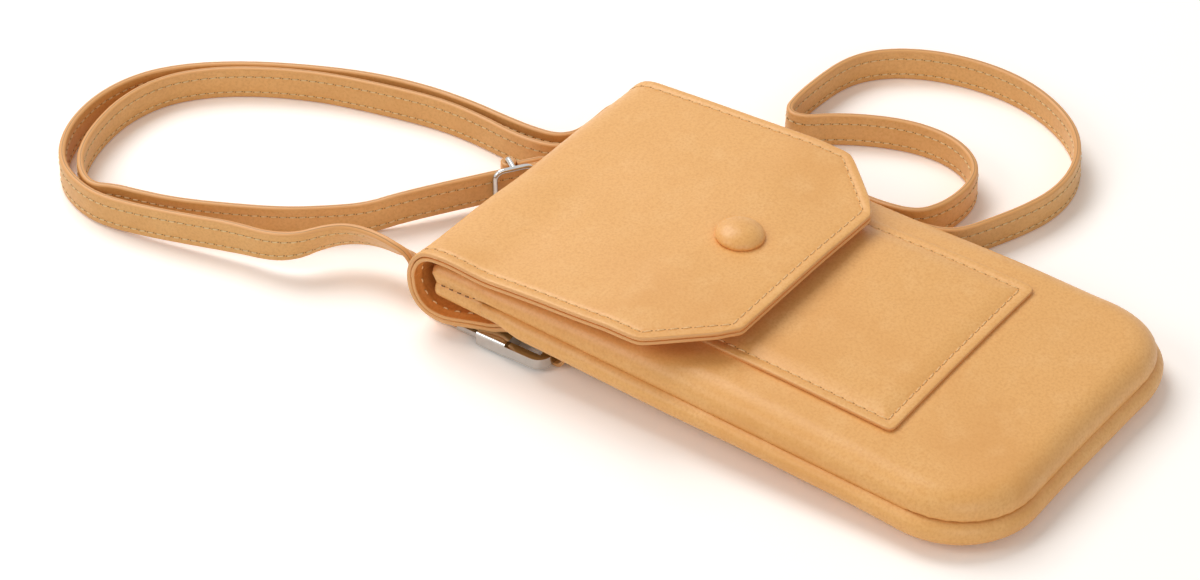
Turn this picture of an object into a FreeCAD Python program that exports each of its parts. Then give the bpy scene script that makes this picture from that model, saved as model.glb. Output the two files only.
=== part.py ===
"""Leather phone pouch with a fold-over snap flap and a clip-on shoulder strap, in millimetres.

The pouch lies on its back with its mouth towards +Y. Its bottom end rests on the table, and the strap
ends under the mouth hold that end up, so every pouch piece is drawn flat and then laid at a tilt.
"""
import FreeCAD
import Part
import math
import os
import Sketcher

Vector = FreeCAD.Vector
X_AXIS = Vector(1, 0, 0)
Y_AXIS = Vector(0, 1, 0)
Z_AXIS = Vector(0, 0, 1)
CLOSE = 1e-6

doc = FreeCAD.newDocument("PhonePouch")
sheet = doc.addObject("Spreadsheet::Sheet", "Sizes")

SIZES = [
    # Clearances: over the table, between sewn layers, on a shaft, beside moving pieces, round a loose bar
    ("table_gap", 0.1),
    ("layer_gap", 0.1),
    ("running_gap", 0.05),
    ("side_gap", 0.2),
    ("swing_gap", 0.4),
    ("rest_gap", 0.6),
    # Rolled edge round the sides and bottom, carried by the padded back a little above its underside
    ("roll_radius", 2.9),
    ("roll_rise", 2.8),
    ("roll_wall", 1.3),
    ("roll_half_width", 47.9),
    ("roll_end_y", -84.2),
    ("roll_corner", 22.0),
    ("roll_length", 150.6),
    # Body layers
    ("mouth_length", 13.1),
    ("leather", 1.4),
    ("front_foam", 1.5),
    ("back_foam", 1.6),
    ("back_inset", 1.5),
    ("back_round", 2.5),
    ("lining", 0.6),
    ("front_overhang", 0.5),
    ("front_rise", 6.9),
    ("front_drop", 2.6),
    ("front_flat_past_stud", 2.5),
    ("front_round", 4.0),
    ("facing_inset", 0.3),
    ("facing_sink", 0.8),
    ("facing_round", 2.8),
    # Card pocket sewn on the front
    ("pocket_half_width", 33.9),
    ("pocket_length", 58.9),
    ("pocket_below_stud", 4.5),
    ("pocket_leather", 1.1),
    ("pocket_slot", 0.5),
    ("pocket_corner", 3.0),
    ("pocket_hem", 5.0),
    # Flap and the fold that carries it
    ("flap_overhang", 2.1),
    ("flap_leather", 1.3),
    ("flap_lining", 1.1),
    ("flap_reach", 80.5),
    ("flap_cut_along", 18.4),
    ("flap_cut_across", 18.1),
    ("flap_flat_past_button", 7.5),
    ("flap_over_front", 5.65),
    ("flap_over_mouth", 0.4),
    ("fold_past_mouth", 0.2),
    ("fold_sag", 2.5),
    ("fold_leg", 8.4),
    ("fold_cut_along", 6.0),
    ("fold_cut_across", 4.2),
    ("fold_hinge_angle", 45.0),
    ("fold_gap_angle", 2.0),
    # Covered snap button
    ("button_inset", 19.5),
    ("button_diameter", 13.2),
    ("button_rise", 3.0),
    ("button_leather", 0.8),
    ("shank_diameter", 3.0),
    ("socket_diameter", 9.0),
    ("socket_bore", 4.8),
    ("socket_height", 1.0),
    ("stud_base_diameter", 8.0),
    ("stud_base_height", 0.7),
    ("stud_diameter", 4.0),
    ("stud_flange_diameter", 6.0),
    ("stud_flange_height", 0.6),
    # Trigger clasps under the two sides
    ("clasp_inset", 4.9),
    ("clasp_past_step", 1.1),
    ("clasp_width", 10.4),
    ("clasp_height", 4.4),
    ("clasp_block", 9.1),
    ("clasp_hook", 12.2),
    ("clasp_bar", 2.6),
    ("clasp_bar_height", 3.0),
    ("clasp_nose_round", 4.0),
    ("clasp_beak", 4.2),
    ("clasp_edge_round", 0.8),
    ("gate_width", 2.2),
    ("gate_height", 2.4),
    ("gate_pin_diameter", 1.2),
    ("gate_pin_inset", 1.7),
    ("gate_relief", 0.9),
    ("fork_depth", 3.6),
    ("eye_wire", 1.4),
    ("eye_side_room", 0.3),
    ("eye_length", 4.0),
    ("eye_shank_diameter", 2.6),
    ("eye_head_diameter", 3.6),
    ("eye_head_length", 1.4),
    ("eye_neck", 1.6),
    # Leather hanging tabs
    ("tab_width", 4.4),
    ("tab_leather", 1.0),
    ("tab_seat", 16.0),
    ("tab_slope", 4.2),
    # Strap
    ("strap_width", 10.0),
    ("strap_thickness", 2.0),
    ("strap_skived", 1.4),
    ("strap_end_width", 4.4),
    ("strap_loop", 10.7),
    # Strap slider
    ("slider_wire", 1.5),
    ("slider_length", 12.5),
    ("slider_along", 31.0),
]
for row, (alias, value) in enumerate(SIZES, start=1):
    sheet.set(f"A{row}", alias)
    sheet.set(f"B{row}", str(value))
    sheet.setAlias(f"B{row}", alias)
doc.recompute()
size = {alias: float(sheet.get(alias)) for alias, _ in SIZES}


def formula(text: str) -> str:
    """Turn a formula in plain size names into one that reads them from the sheet."""
    words = text.split()
    return " ".join(f"Sizes.{word}" if word in size else word for word in words)


# Places and heights that follow from the sizes, in the flat pouch frame
step_y = size["roll_end_y"] + size["roll_length"]
mouth_y = step_y + size["mouth_length"]
roll_z = size["roll_rise"] + size["roll_radius"]
roll_top = roll_z + size["roll_radius"]
front_base = roll_top + size["layer_gap"]
front_top = front_base + size["front_rise"]
plate_inset = size["back_inset"] + size["back_round"] + size["layer_gap"]
front_low_y = size["roll_end_y"] - size["front_overhang"]
front_corner = size["roll_corner"] + size["front_overhang"]
foam_inset = size["leather"] + size["layer_gap"]
lining_inset = foam_inset + size["front_foam"] + size["layer_gap"]
flap_tip_y = mouth_y - size["flap_reach"]
button_y = flap_tip_y + size["button_inset"]
flap_bend_y = button_y + size["flap_flat_past_button"]
front_break_y = button_y + size["stud_base_diameter"] / 2 + size["front_flat_past_stud"]
lining_depth = size["flap_leather"] + size["layer_gap"]
flap_thickness = lining_depth + size["flap_lining"]
flap_height = front_top + size["flap_over_front"]
fold_top = front_top - size["front_drop"] + size["flap_over_mouth"] + flap_thickness
fold_radius = (fold_top + size["fold_sag"]) / 2
fold_y = mouth_y + size["fold_past_mouth"]
fold_z = fold_top - fold_radius
fold_leg_y = step_y - size["fold_leg"]
back_width = formula("2 * ( roll_half_width - back_inset )")
flap_width = formula("2 * ( roll_half_width + flap_overhang )")

# Clasps and strap ends under the mouth, in the table's frame
eye_half = size["eye_wire"] / 2
loop_stack = size["strap_skived"] + size["swing_gap"] + eye_half
tab_stack = size["tab_leather"] + size["swing_gap"] + size["clasp_bar_height"] / 2
clasp_z = size["table_gap"] + max(loop_stack, tab_stack)
clasp_x = size["roll_half_width"] - size["clasp_inset"]
block_high_y = step_y + size["clasp_past_step"]
block_low_y = block_high_y - size["clasp_block"]
nose_y = block_low_y - size["clasp_hook"]
eye_inside = size["strap_end_width"] + 2 * size["eye_side_room"]
eye_low_y = block_high_y + 2 * size["side_gap"]
eye_bar_y = eye_low_y + size["eye_wire"] + size["eye_length"]
loop_low = clasp_z - loop_stack
loop_top = clasp_z + loop_stack
loop_end_y = eye_bar_y + size["strap_loop"]

# The fold rests on the strap's loops, which sets how steeply the pouch lies
lift = (loop_top + size["rest_gap"] + size["fold_sag"]) / (fold_y - size["roll_end_y"])
LAY = FreeCAD.Placement(
    Vector(0, 0, 0),
    FreeCAD.Rotation(X_AXIS, math.degrees(math.asin(lift))),
    Vector(0, size["roll_end_y"], roll_top / 2),
)
FLAT = FreeCAD.Placement()
nodes = {}


def under_pouch(y: float) -> float:
    """Height above the table of the pouch's flat underside at a place along the table."""
    return LAY.multVec(Vector(0, y, 0)).z


def node(obj, label: str, lay: FreeCAD.Placement = FLAT):
    """Register a finished sub-part under the name of its file."""
    obj.Label = label
    obj.Placement = lay.multiply(obj.Placement)
    nodes[label] = obj
    return obj


def plane_of(body, role: str):
    """Find one of a body's own origin planes."""
    return next(item for item in body.Origin.OriginFeatures if item.Role == role)


def draw(sketch, corners: list) -> None:
    """Draw a closed outline whose corners are held from the sketch's origin."""
    first = sketch.GeometryCount
    places = [Vector(across, up, 0) for across, up in corners]
    count = len(places)
    for index, place in enumerate(places):
        sketch.addGeometry(Part.LineSegment(place, places[(index + 1) % count]), False)
    for index in range(count):
        following = first + (index + 1) % count
        sketch.addConstraint(Sketcher.Constraint("Coincident", first + index, 2, following, 1))
    for index, (across, up) in enumerate(corners):
        sketch.addConstraint(Sketcher.Constraint("DistanceX", -1, 1, first + index, 1, across))
        sketch.addConstraint(Sketcher.Constraint("DistanceY", -1, 1, first + index, 1, up))


def sheet_body(name: str, outlines: list, length: str, role: str = "YZ_Plane"):
    """A body padded evenly to both sides of an origin plane from one or more closed outlines."""
    body = doc.addObject("PartDesign::Body", name)
    sketch = body.newObject("Sketcher::SketchObject", f"{name}Sketch")
    sketch.AttachmentSupport = [(plane_of(body, role), "")]
    sketch.MapMode = "FlatFace"
    for outline in outlines:
        draw(sketch, outline)
    pad = body.newObject("PartDesign::Pad", f"{name}Pad")
    pad.Profile = sketch
    pad.Midplane = True
    pad.setExpression("Length", length)
    doc.recompute()
    return body


def dress(body, kind: str, name: str, test, **settings) -> None:
    """Fillet or chamfer the edges of a body's last feature that pass a test."""
    base = body.Tip
    edges = [f"Edge{place}" for place, edge in enumerate(base.Shape.Edges, start=1) if test(edge)]
    feature = body.newObject(f"PartDesign::{kind}", name)
    feature.Base = (base, edges)
    for setting, value in settings.items():
        setattr(feature, setting, value)
    doc.recompute()


def box(name: str, sides: tuple, corner: Vector):
    """A block whose three sides are formulas of the sheet, placed by its lowest corner."""
    block = doc.addObject("Part::Box", name)
    for side, text in zip(("Length", "Width", "Height"), sides):
        block.setExpression(side, formula(text))
    block.Placement.Base = corner
    return block


def rod(name: str, radius: str, height: str, foot: Vector, axis: Vector = Z_AXIS):
    """A round bar whose radius and length are formulas of the sheet."""
    bar = doc.addObject("Part::Cylinder", name)
    bar.setExpression("Radius", formula(radius))
    bar.setExpression("Height", formula(height))
    bar.Placement = FreeCAD.Placement(foot, FreeCAD.Rotation(Z_AXIS, axis))
    return bar


def cut(name: str, base, tool):
    """One piece with another taken out of it."""
    result = doc.addObject("Part::Cut", name)
    result.Base = base
    result.Tool = tool
    return result


def fuse(name: str, pieces: list):
    """Several pieces joined to one."""
    result = doc.addObject("Part::MultiFuse", name)
    result.Shapes = pieces
    result.Refine = True
    return result


def rounded(name: str, block, radius: float, test):
    """A block with the edges that pass a test rounded."""
    doc.recompute()
    result = doc.addObject("Part::Fillet", name)
    result.Base = block
    result.Edges = [
        (place, radius, radius) for place, edge in enumerate(block.Shape.Edges, start=1) if test(edge)
    ]
    return result


def upright(edge) -> bool:
    """Is the edge a straight one along Z?"""
    low, high = edge.Vertexes[0].Point, edge.Vertexes[-1].Point
    return abs(low.x - high.x) + abs(low.y - high.y) < CLOSE


def upright_at(limit_y: float):
    """A test for upright edges no further along than a place."""
    return lambda edge: upright(edge) and edge.Vertexes[0].Y < limit_y + CLOSE


def rounded_plate(name: str, inset: float, thickness: str, low_z: float, high_y: float):
    """A flat layer drawn in from the rolled edge's line, with its two bottom corners rounded."""
    low_y = size["roll_end_y"] + inset
    corner = Vector(inset - size["roll_half_width"], low_y, low_z)
    sides = (f"2 * ( roll_half_width - {inset} )", f"{high_y - low_y}", thickness)
    block = box(f"{name}Block", sides, corner)
    return rounded(f"{name}Corners", block, size["roll_corner"] - inset, upright_at(low_y))


def dished(name: str, inset: float, low_z: float, high_y: float, radius: float):
    """A plate up to the rolled edge whose lower edges are rounded, all but the one at the mouth end."""
    under_roll = roll_z - math.sqrt(size["roll_radius"] ** 2 - size["back_inset"] ** 2)
    height = f"{under_roll - low_z} - layer_gap"
    plate = rounded_plate(name, inset, height, low_z, high_y)

    def lower(edge) -> bool:
        bounds = edge.BoundBox
        return bounds.ZMax < low_z + CLOSE and bounds.YMin < high_y - CLOSE

    return rounded(f"{name}Dish", plate, radius, lower)


def pillow(name: str, inset: float, past: float):
    """The front's pillowed form, drawn in by an inset and carried on past its base and its mouth.

    Its top is level from the bottom end to the break, then falls to the mouth.
    """
    fall = size["front_drop"] / (mouth_y - front_break_y)
    top = front_top - inset
    low_y = front_low_y + inset
    end_y = mouth_y + past
    end_z = top - fall * (end_y - front_break_y)
    base = front_base - past
    outline = [(low_y, base), (end_y, base), (end_y, end_z), (front_break_y, top), (low_y, top)]
    width = formula(f"2 * ( roll_half_width + front_overhang - {inset} )")
    body = sheet_body(name, [outline], width)
    dress(body, "Fillet", f"{name}Corners", upright_at(low_y), Radius=front_corner - inset)

    def shoulder(edge) -> bool:
        middle = edge.valueAt((edge.FirstParameter + edge.LastParameter) / 2)
        across = edge.BoundBox.XLength > 2 * front_corner and middle.y > low_y + CLOSE
        expected = top - fall * max(0.0, middle.y - front_break_y)
        return abs(middle.z - expected) < 1e-4 and not across and not upright(edge)

    wall = size["front_rise"] - size["front_drop"] - size["side_gap"]
    least = size["layer_gap"] + size["side_gap"]
    soft = max(min(size["front_round"], wall) - inset, least)
    dress(body, "Fillet", f"{name}Shoulder", shoulder, Radius=soft)
    return body


def front_layer(label: str, inset: float, thickness: float):
    """One layer of the front: a pillowed form less a smaller one, open below and at the mouth."""
    outer = pillow(f"{label}_outer", inset, 0.0)
    inner = pillow(f"{label}_inner", inset + thickness, size["leather"])
    return cut(f"{label}_shell", outer, inner)


def roll_line() -> object:
    """The line of the rolled edge: down one side, round the bottom and up the other."""
    line = doc.addObject("Sketcher::SketchObject", "RollLine")
    line.Placement.Base = Vector(0, 0, roll_z)
    side, end, corner = size["roll_half_width"], size["roll_end_y"], size["roll_corner"]
    top = step_y - size["side_gap"]
    bulge = corner * (1 - math.sqrt(0.5))
    stops = [
        Vector(side, top, 0), Vector(side, end + corner, 0), Vector(side - corner, end, 0),
        Vector(corner - side, end, 0), Vector(-side, end + corner, 0), Vector(-side, top, 0),
    ]
    line.addGeometry(Part.LineSegment(stops[0], stops[1]))
    line.addGeometry(Part.Arc(stops[1], Vector(side - bulge, end + bulge, 0), stops[2]))
    line.addGeometry(Part.LineSegment(stops[2], stops[3]))
    line.addGeometry(Part.Arc(stops[3], Vector(bulge - side, end + bulge, 0), stops[4]))
    line.addGeometry(Part.LineSegment(stops[4], stops[5]))
    doc.recompute()
    return line


def along_roll(name: str, line, radius: str):
    """A round section carried along the rolled edge."""
    ring = doc.addObject("Part::Circle", f"{name}Section")
    ring.setExpression("Radius", formula(radius))
    start = Vector(size["roll_half_width"], step_y - size["side_gap"], roll_z)
    ring.Placement = FreeCAD.Placement(start, FreeCAD.Rotation(Z_AXIS, Y_AXIS))
    sweep = doc.addObject("Part::Sweep", name)
    sweep.Sections = [ring]
    sweep.Spine = (line, [f"Edge{place}" for place in range(1, 6)])
    sweep.Solid = True
    sweep.Frenet = False
    return sweep


# The fold: straight lower leg, a curve about one middle line, and the flap's sheet
def tangent_angle(place_y: float, place_z: float, side: int) -> float:
    """Angle on the fold's circle, from +Y, where the line from a place outside meets it."""
    across = place_y - fold_y
    up = place_z - fold_z
    return math.degrees(math.atan2(up, across) - side * math.acos(fold_radius / math.hypot(across, up)))


leg_angle = tangent_angle(fold_leg_y, 0.0, -1)
top_angle = tangent_angle(flap_bend_y, flap_height, 1)
leg_slope = math.tan(math.radians(leg_angle + 90))
half_gap = size["fold_gap_angle"] / 2
hinge = size["fold_hinge_angle"]


def on_fold(radius: float, angle: float) -> tuple:
    """Place (y, z) on a circle about the fold's middle."""
    turn = math.radians(angle)
    return fold_y + radius * math.cos(turn), fold_z + radius * math.sin(turn)


def fold_sector(name: str, depth: float, layer: str, start: float, end: float):
    """A curved strip of the fold: the part of a ring between two angles, across the flap's width."""
    facing_x = FreeCAD.Rotation(Y_AXIS, Z_AXIS, X_AXIS, "ZXY")
    lay = FreeCAD.Placement(
        Vector(-size["roll_half_width"] - size["flap_overhang"], fold_y, fold_z),
        facing_x.multiply(FreeCAD.Rotation(Z_AXIS, start)),
    )
    pieces = []
    radii = (f"{fold_radius - depth}", f"{fold_radius - depth} - {layer}")
    for part_name, radius in zip((f"{name}Out", f"{name}In"), radii):
        piece = doc.addObject("Part::Cylinder", part_name)
        piece.setExpression("Radius", formula(radius))
        piece.setExpression("Height", flap_width)
        piece.Angle = end - start
        piece.Placement = lay
        pieces.append(piece)
    return cut(name, *pieces)


def fold_leg(name: str, low_y: float, high_y: float, depth: float, layer: str, width: str):
    """The fold's straight lower leg between two places along the pouch, one layer of it."""
    outer_y, outer_z = on_fold(fold_radius - depth, leg_angle)
    inner_y, inner_z = on_fold(fold_radius - depth - size[layer], leg_angle)
    outline = [
        (low_y, outer_z + leg_slope * (low_y - outer_y)),
        (min(high_y, outer_y), outer_z + leg_slope * (min(high_y, outer_y) - outer_y)),
        (min(high_y, inner_y), inner_z + leg_slope * (min(high_y, inner_y) - inner_y)),
        (low_y, inner_z + leg_slope * (low_y - inner_y)),
    ]
    return sheet_body(name, [outline], width)


# Back of the body: a shallow leather dish under the rolled edge, which runs on into the fold
overlap = size["side_gap"]
skin = size["flap_leather"]
dish_outside = dished("DishOutside", size["back_inset"], 0.0, fold_leg_y, size["back_round"])
dish_inside = dished(
    "DishInside", size["back_inset"] + skin, skin, fold_leg_y + overlap, size["back_round"] - skin
)
back_dish = cut("BackDish", dish_outside, dish_inside)
widen_y = step_y - size["fold_cut_along"]
narrow_leg = fold_leg(
    "NarrowLeg", fold_leg_y - overlap, step_y + overlap, 0.0, "flap_leather", back_width
)
wide_leg = fold_leg("WideLeg", widen_y, fold_y, 0.0, "flap_leather", flap_width)
dress(
    wide_leg, "Chamfer", "WideLegCut", upright_at(widen_y),
    ChamferType="Two distances", Size=size["fold_cut_across"], Size2=size["fold_cut_along"],
)
root_curve = fold_sector("RootCurve", 0.0, "flap_leather", leg_angle, -hinge - half_gap)
node(fuse("BackPanel", [back_dish, narrow_leg, wide_leg, root_curve]), "back_panel", LAY)

lining_leg = fold_leg(
    "LiningLeg", step_y + size["side_gap"], fold_y, lining_depth, "flap_lining", flap_width
)
lining_curve = fold_sector("LiningCurve", lining_depth, "flap_lining", leg_angle, -hinge - half_gap)
node(fuse("RootLining", [lining_leg, lining_curve]), "fold_root_lining", LAY)

back_end_y = step_y - size["side_gap"]
foam_z = size["flap_leather"] + size["layer_gap"]
lining_z = foam_z + size["back_foam"] + size["layer_gap"]
node(rounded_plate("BackFoam", plate_inset, "back_foam", foam_z, back_end_y), "back_padding", LAY)
node(rounded_plate("BackLining", plate_inset, "lining", lining_z, back_end_y), "back_lining", LAY)

# Rolled edge: a leather tube over a filler cord
line = roll_line()
roll_outside = along_roll("RollOutside", line, "roll_radius")
roll_inside = along_roll("RollInside", line, "roll_radius - roll_wall")
node(cut("EdgeRoll", roll_outside, roll_inside), "edge_roll", LAY)
node(along_roll("EdgeFiller", line, "roll_radius - roll_wall - layer_gap"), "edge_filler_cord", LAY)

# Facing that finishes the back of the mouth: a shallow channel with rounded lower corners
facing_half = size["roll_half_width"] - size["facing_inset"]
facing_low = size["flap_leather"] + size["facing_sink"]
facing_inside = facing_half - size["leather"]
facing_floor = facing_low + size["leather"]
facing = sheet_body("Facing", [[
    (-facing_half, facing_low), (facing_half, facing_low), (facing_half, roll_top),
    (facing_inside, roll_top), (facing_inside, facing_floor), (-facing_inside, facing_floor),
    (-facing_inside, roll_top), (-facing_half, roll_top),
]], formula("mouth_length - side_gap"), "XZ_Plane")


def facing_corner(edge) -> bool:
    """The two outer lower edges of the facing, along Y."""
    bounds = edge.BoundBox
    outside = abs(abs(bounds.Center.x) - facing_half) < CLOSE
    return outside and bounds.YLength > size["leather"] and abs(bounds.Center.z - facing_low) < CLOSE


facing_soft = min(size["facing_round"], 2 * size["leather"])
dress(facing, "Fillet", "FacingRound", facing_corner, Radius=facing_soft)
facing.Placement.Base = Vector(0, (mouth_y + step_y + size["side_gap"]) / 2, 0)
node(facing, "mouth_facing", LAY)

# Snap stud: base and ball on the front, riveted through the leather to a flange inside
flap_under = flap_height - flap_thickness
stud_top = flap_under - size["side_gap"]
flange_low = front_top - size["leather"] - size["stud_flange_height"]
stud_foot = Vector(0, button_y, front_top)
rivet_foot = Vector(0, button_y, flange_low)
node(fuse("Stud", [
    rod("StudPost", "stud_diameter / 2", f"{stud_top - front_top}", stud_foot),
    rod("StudBase", "stud_base_diameter / 2", "stud_base_height", stud_foot),
    rod("StudRivet", "shank_diameter / 2", "leather + stud_flange_height", rivet_foot),
    rod("StudFlange", "stud_flange_diameter / 2", "stud_flange_height", rivet_foot),
]), "snap_stud", LAY)

# Front of the body
hole_foot = Vector(0, button_y, front_base + size["leather"])
rivet_hole = rod("RivetHole", "shank_diameter / 2 + layer_gap", "front_rise", hole_foot)
flange_hole = rod("FlangeHole", "stud_flange_diameter / 2 + side_gap", "front_rise", hole_foot)
leather_shell = front_layer("front_leather", 0.0, size["leather"])
node(cut("FrontPanel", leather_shell, rivet_hole), "front_panel", LAY)
foam_shell = front_layer("front_foam_form", foam_inset, size["front_foam"])
node(cut("FrontFoam", foam_shell, flange_hole), "front_padding", LAY)
node(front_layer("front_lining_form", lining_inset, size["lining"]), "front_lining", LAY)

# Card pocket: a patch held off the front by a hem on three sides, open at its top under the flap
pocket_high_y = button_y - size["stud_base_diameter"] / 2 - size["pocket_below_stud"]
pocket_low_y = pocket_high_y - size["pocket_length"]
patch_corner = Vector(-size["pocket_half_width"], pocket_low_y, front_top)
patch = box(
    "PocketBlock", ("2 * pocket_half_width", "pocket_length", "pocket_slot + pocket_leather"), patch_corner
)
pocket_space = box(
    "PocketSpace",
    ("2 * ( pocket_half_width - pocket_hem )", "pocket_length", "pocket_slot"),
    patch_corner + Vector(size["pocket_hem"], size["pocket_hem"], 0),
)
patch_round = rounded("PocketRound", patch, size["pocket_corner"], upright_at(pocket_low_y))
node(cut("CardPocket", patch_round, pocket_space), "card_pocket", LAY)

# Middle of the fold, which turns on the pouch
strip_ends = (half_gap - hinge, hinge - half_gap)
node(fold_sector("FoldLeather", 0.0, "flap_leather", *strip_ends), "fold_leather", LAY)
node(fold_sector("FoldLining", lining_depth, "flap_lining", *strip_ends), "fold_lining", LAY)


def flap_layer(label: str, depth: float, layer: str):
    """One layer of the flap: level from its cut tip to a bend, then falling to its share of the fold."""
    slope = math.radians(90 - top_angle)
    level = flap_height - depth
    under = level - size[layer]

    def bend(height: float) -> tuple:
        return flap_bend_y - (flap_height - height) * math.tan(slope / 2), height

    outline = [
        (flap_tip_y, under), bend(under), on_fold(fold_radius - depth - size[layer], top_angle),
        on_fold(fold_radius - depth, top_angle), bend(level), (flap_tip_y, level),
    ]
    leaf = sheet_body(f"{label}_leaf", [outline], flap_width)
    dress(
        leaf, "Chamfer", f"{label}_tip", upright_at(flap_tip_y),
        ChamferType="Two distances", Size=size["flap_cut_across"], Size2=size["flap_cut_along"],
    )
    curve = fold_sector(f"{label}_curve", depth, layer, hinge + half_gap, top_angle)
    return fuse(f"{label}_sheet", [leaf, curve])


shank_hole = rod(
    "ShankHole", "shank_diameter / 2 + layer_gap", f"{flap_thickness} + 2 * leather",
    Vector(0, button_y, flap_under - size["leather"]),
)
flap_outer = flap_layer("flap_outer", 0.0, "flap_leather")
node(cut("FlapLeather", flap_outer, shank_hole), "flap_leather", LAY)
flap_inner = flap_layer("flap_inner", lining_depth, "flap_lining")
node(cut("FlapLining", flap_inner, shank_hole), "flap_lining", LAY)

# Covered button: a leather cap over a metal dome, riveted through the flap to the snap's socket
button_foot = Vector(0, button_y, flap_height)


def dome(radius: float, rise: float):
    """A shallow round cap standing on the flap."""
    ball_radius = (radius * radius + rise * rise) / (2 * rise)
    ball = Part.makeSphere(ball_radius, button_foot + Z_AXIS * (rise - ball_radius))
    return ball.common(Part.makeCylinder(radius, rise, button_foot))


button_radius = size["button_diameter"] / 2
core_radius = button_radius - size["button_leather"]
core_rise = size["button_rise"] - size["button_leather"]
cover = doc.addObject("Part::Feature", "ButtonCover")
cover.Shape = dome(button_radius, size["button_rise"]).cut(dome(core_radius, core_rise))
node(cover, "button_cover", LAY)
shank = Part.makeCylinder(size["shank_diameter"] / 2, flap_thickness, Vector(0, button_y, flap_under))
core = doc.addObject("Part::Feature", "ButtonCore")
core.Shape = dome(core_radius - size["layer_gap"], core_rise - size["layer_gap"]).fuse(shank).removeSplitter()
node(core, "button_dome", LAY)
socket_foot = Vector(0, button_y, flap_under - size["socket_height"])
socket_ring = rod("SocketRing", "socket_diameter / 2", "socket_height", socket_foot)
socket_hole = rod("SocketHole", "socket_bore / 2", "socket_height", socket_foot)
node(cut("SnapSocket", socket_ring, socket_hole), "snap_socket", LAY)


# Clasps, hanging tabs, swivel eyes and strap loops, one set under each side
def clasp(tag: str, side: int) -> None:
    """A trigger clasp: hook with block, spine, nose and beak, and its sprung gate on a pin."""
    middle = side * clasp_x
    left = middle - size["clasp_width"] / 2
    bar = size["clasp_bar"]
    low_bar = clasp_z - size["clasp_bar_height"] / 2
    low_block = clasp_z - size["clasp_height"] / 2
    low_gate = clasp_z - size["gate_height"] / 2
    gate_left = left if side > 0 else left + size["clasp_width"] - bar
    beak_y = nose_y + size["clasp_beak"]
    block_corner = Vector(left, block_low_y, low_block)
    block = box(f"{tag}Block", ("clasp_width", "clasp_block", "clasp_height"), block_corner)
    eased = rounded(
        f"{tag}BlockEased", block, size["clasp_edge_round"],
        lambda edge: edge.BoundBox.YLength > size["clasp_edge_round"],
    )
    frame = box(
        f"{tag}Frame", ("clasp_width", "clasp_hook + clasp_edge_round", "clasp_bar_height"),
        Vector(left, nose_y, low_bar),
    )
    nose = rounded(f"{tag}Nose", frame, size["clasp_nose_round"], upright_at(nose_y))
    window = box(
        f"{tag}Window", ("clasp_width - 2 * clasp_bar", "clasp_hook - clasp_bar", "clasp_bar_height"),
        Vector(left + bar, nose_y + bar, low_bar),
    )
    slot_left = gate_left if side > 0 else gate_left - size["gate_relief"]
    gate_slot = box(
        f"{tag}GateSlot",
        ("clasp_bar + gate_relief", "clasp_hook - clasp_beak + fork_depth", "gate_height + 2 * side_gap"),
        Vector(slot_left, beak_y, low_gate - size["side_gap"]),
    )
    gate_room = box(
        f"{tag}GateRoom", ("clasp_bar", "clasp_hook - clasp_beak", "clasp_bar_height"),
        Vector(gate_left, beak_y, low_bar),
    )
    gate_x = gate_left + bar / 2
    pin_y = block_low_y + size["gate_pin_inset"]
    pin_foot = Vector(gate_x, pin_y, low_block)
    pin_hole = rod(f"{tag}PinHole", "gate_pin_diameter / 2", "clasp_height", pin_foot)
    neck_y = block_high_y - size["eye_neck"]
    neck_hole = rod(
        f"{tag}NeckHole", "eye_shank_diameter / 2 + running_gap", "2 * eye_neck",
        Vector(middle, neck_y, clasp_z), Y_AXIS,
    )
    head_y = neck_y - size["eye_head_length"] - 2 * size["side_gap"]
    head_hole = rod(
        f"{tag}HeadHole", "eye_head_diameter / 2 + side_gap", "eye_head_length + 2 * side_gap",
        Vector(middle, head_y, clasp_z), Y_AXIS,
    )
    away = fuse(f"{tag}Away", [window, gate_slot, gate_room, pin_hole, neck_hole, head_hole])
    node(cut(f"{tag}Hook", fuse(f"{tag}HookSolid", [eased, nose]), away), f"{tag}_clasp_hook")
    node(rod(f"{tag}Pin", "gate_pin_diameter / 2", "clasp_height", pin_foot), f"{tag}_gate_pin")
    tip_y = beak_y + size["side_gap"]
    gate_foot = Vector(gate_x, pin_y, low_gate)
    gate_bar = box(
        f"{tag}GateBar", ("gate_width", f"{pin_y - tip_y}", "gate_height"),
        Vector(gate_x - size["gate_width"] / 2, tip_y, low_gate),
    )
    knuckle = rod(f"{tag}Knuckle", "gate_width / 2", "gate_height", gate_foot)
    bore = rod(f"{tag}GateBore", "gate_pin_diameter / 2 + running_gap", "gate_height", gate_foot)
    node(cut(f"{tag}Gate", fuse(f"{tag}GateSolid", [gate_bar, knuckle]), bore), f"{tag}_clasp_gate")


def swivel_eye(tag: str, side: int) -> None:
    """The eye that carries the strap end: a square wire loop on a headed shank."""
    middle = side * clasp_x
    low_z = clasp_z - eye_half
    inside = "strap_end_width + 2 * eye_side_room"
    ring = box(
        f"{tag}EyeRing", (f"{inside} + 2 * eye_wire", "eye_length + 2 * eye_wire", "eye_wire"),
        Vector(middle - eye_inside / 2 - size["eye_wire"], eye_low_y, low_z),
    )
    opening = box(
        f"{tag}EyeOpening", (inside, "eye_length", "eye_wire"),
        Vector(middle - eye_inside / 2, eye_low_y + size["eye_wire"], low_z),
    )
    head_y = block_high_y - size["eye_neck"] - size["eye_head_length"] - size["side_gap"]
    head_foot = Vector(middle, head_y, clasp_z)
    shank_length = f"{eye_low_y + eye_half - head_y}"
    shank_rod = rod(f"{tag}EyeShank", "eye_shank_diameter / 2", shank_length, head_foot, Y_AXIS)
    head = rod(f"{tag}EyeHead", "eye_head_diameter / 2", "eye_head_length", head_foot, Y_AXIS)
    loop = cut(f"{tag}EyeLoop", ring, opening)
    node(fuse(f"{tag}Eye", [loop, shank_rod, head]), f"{tag}_swivel_eye")


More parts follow.
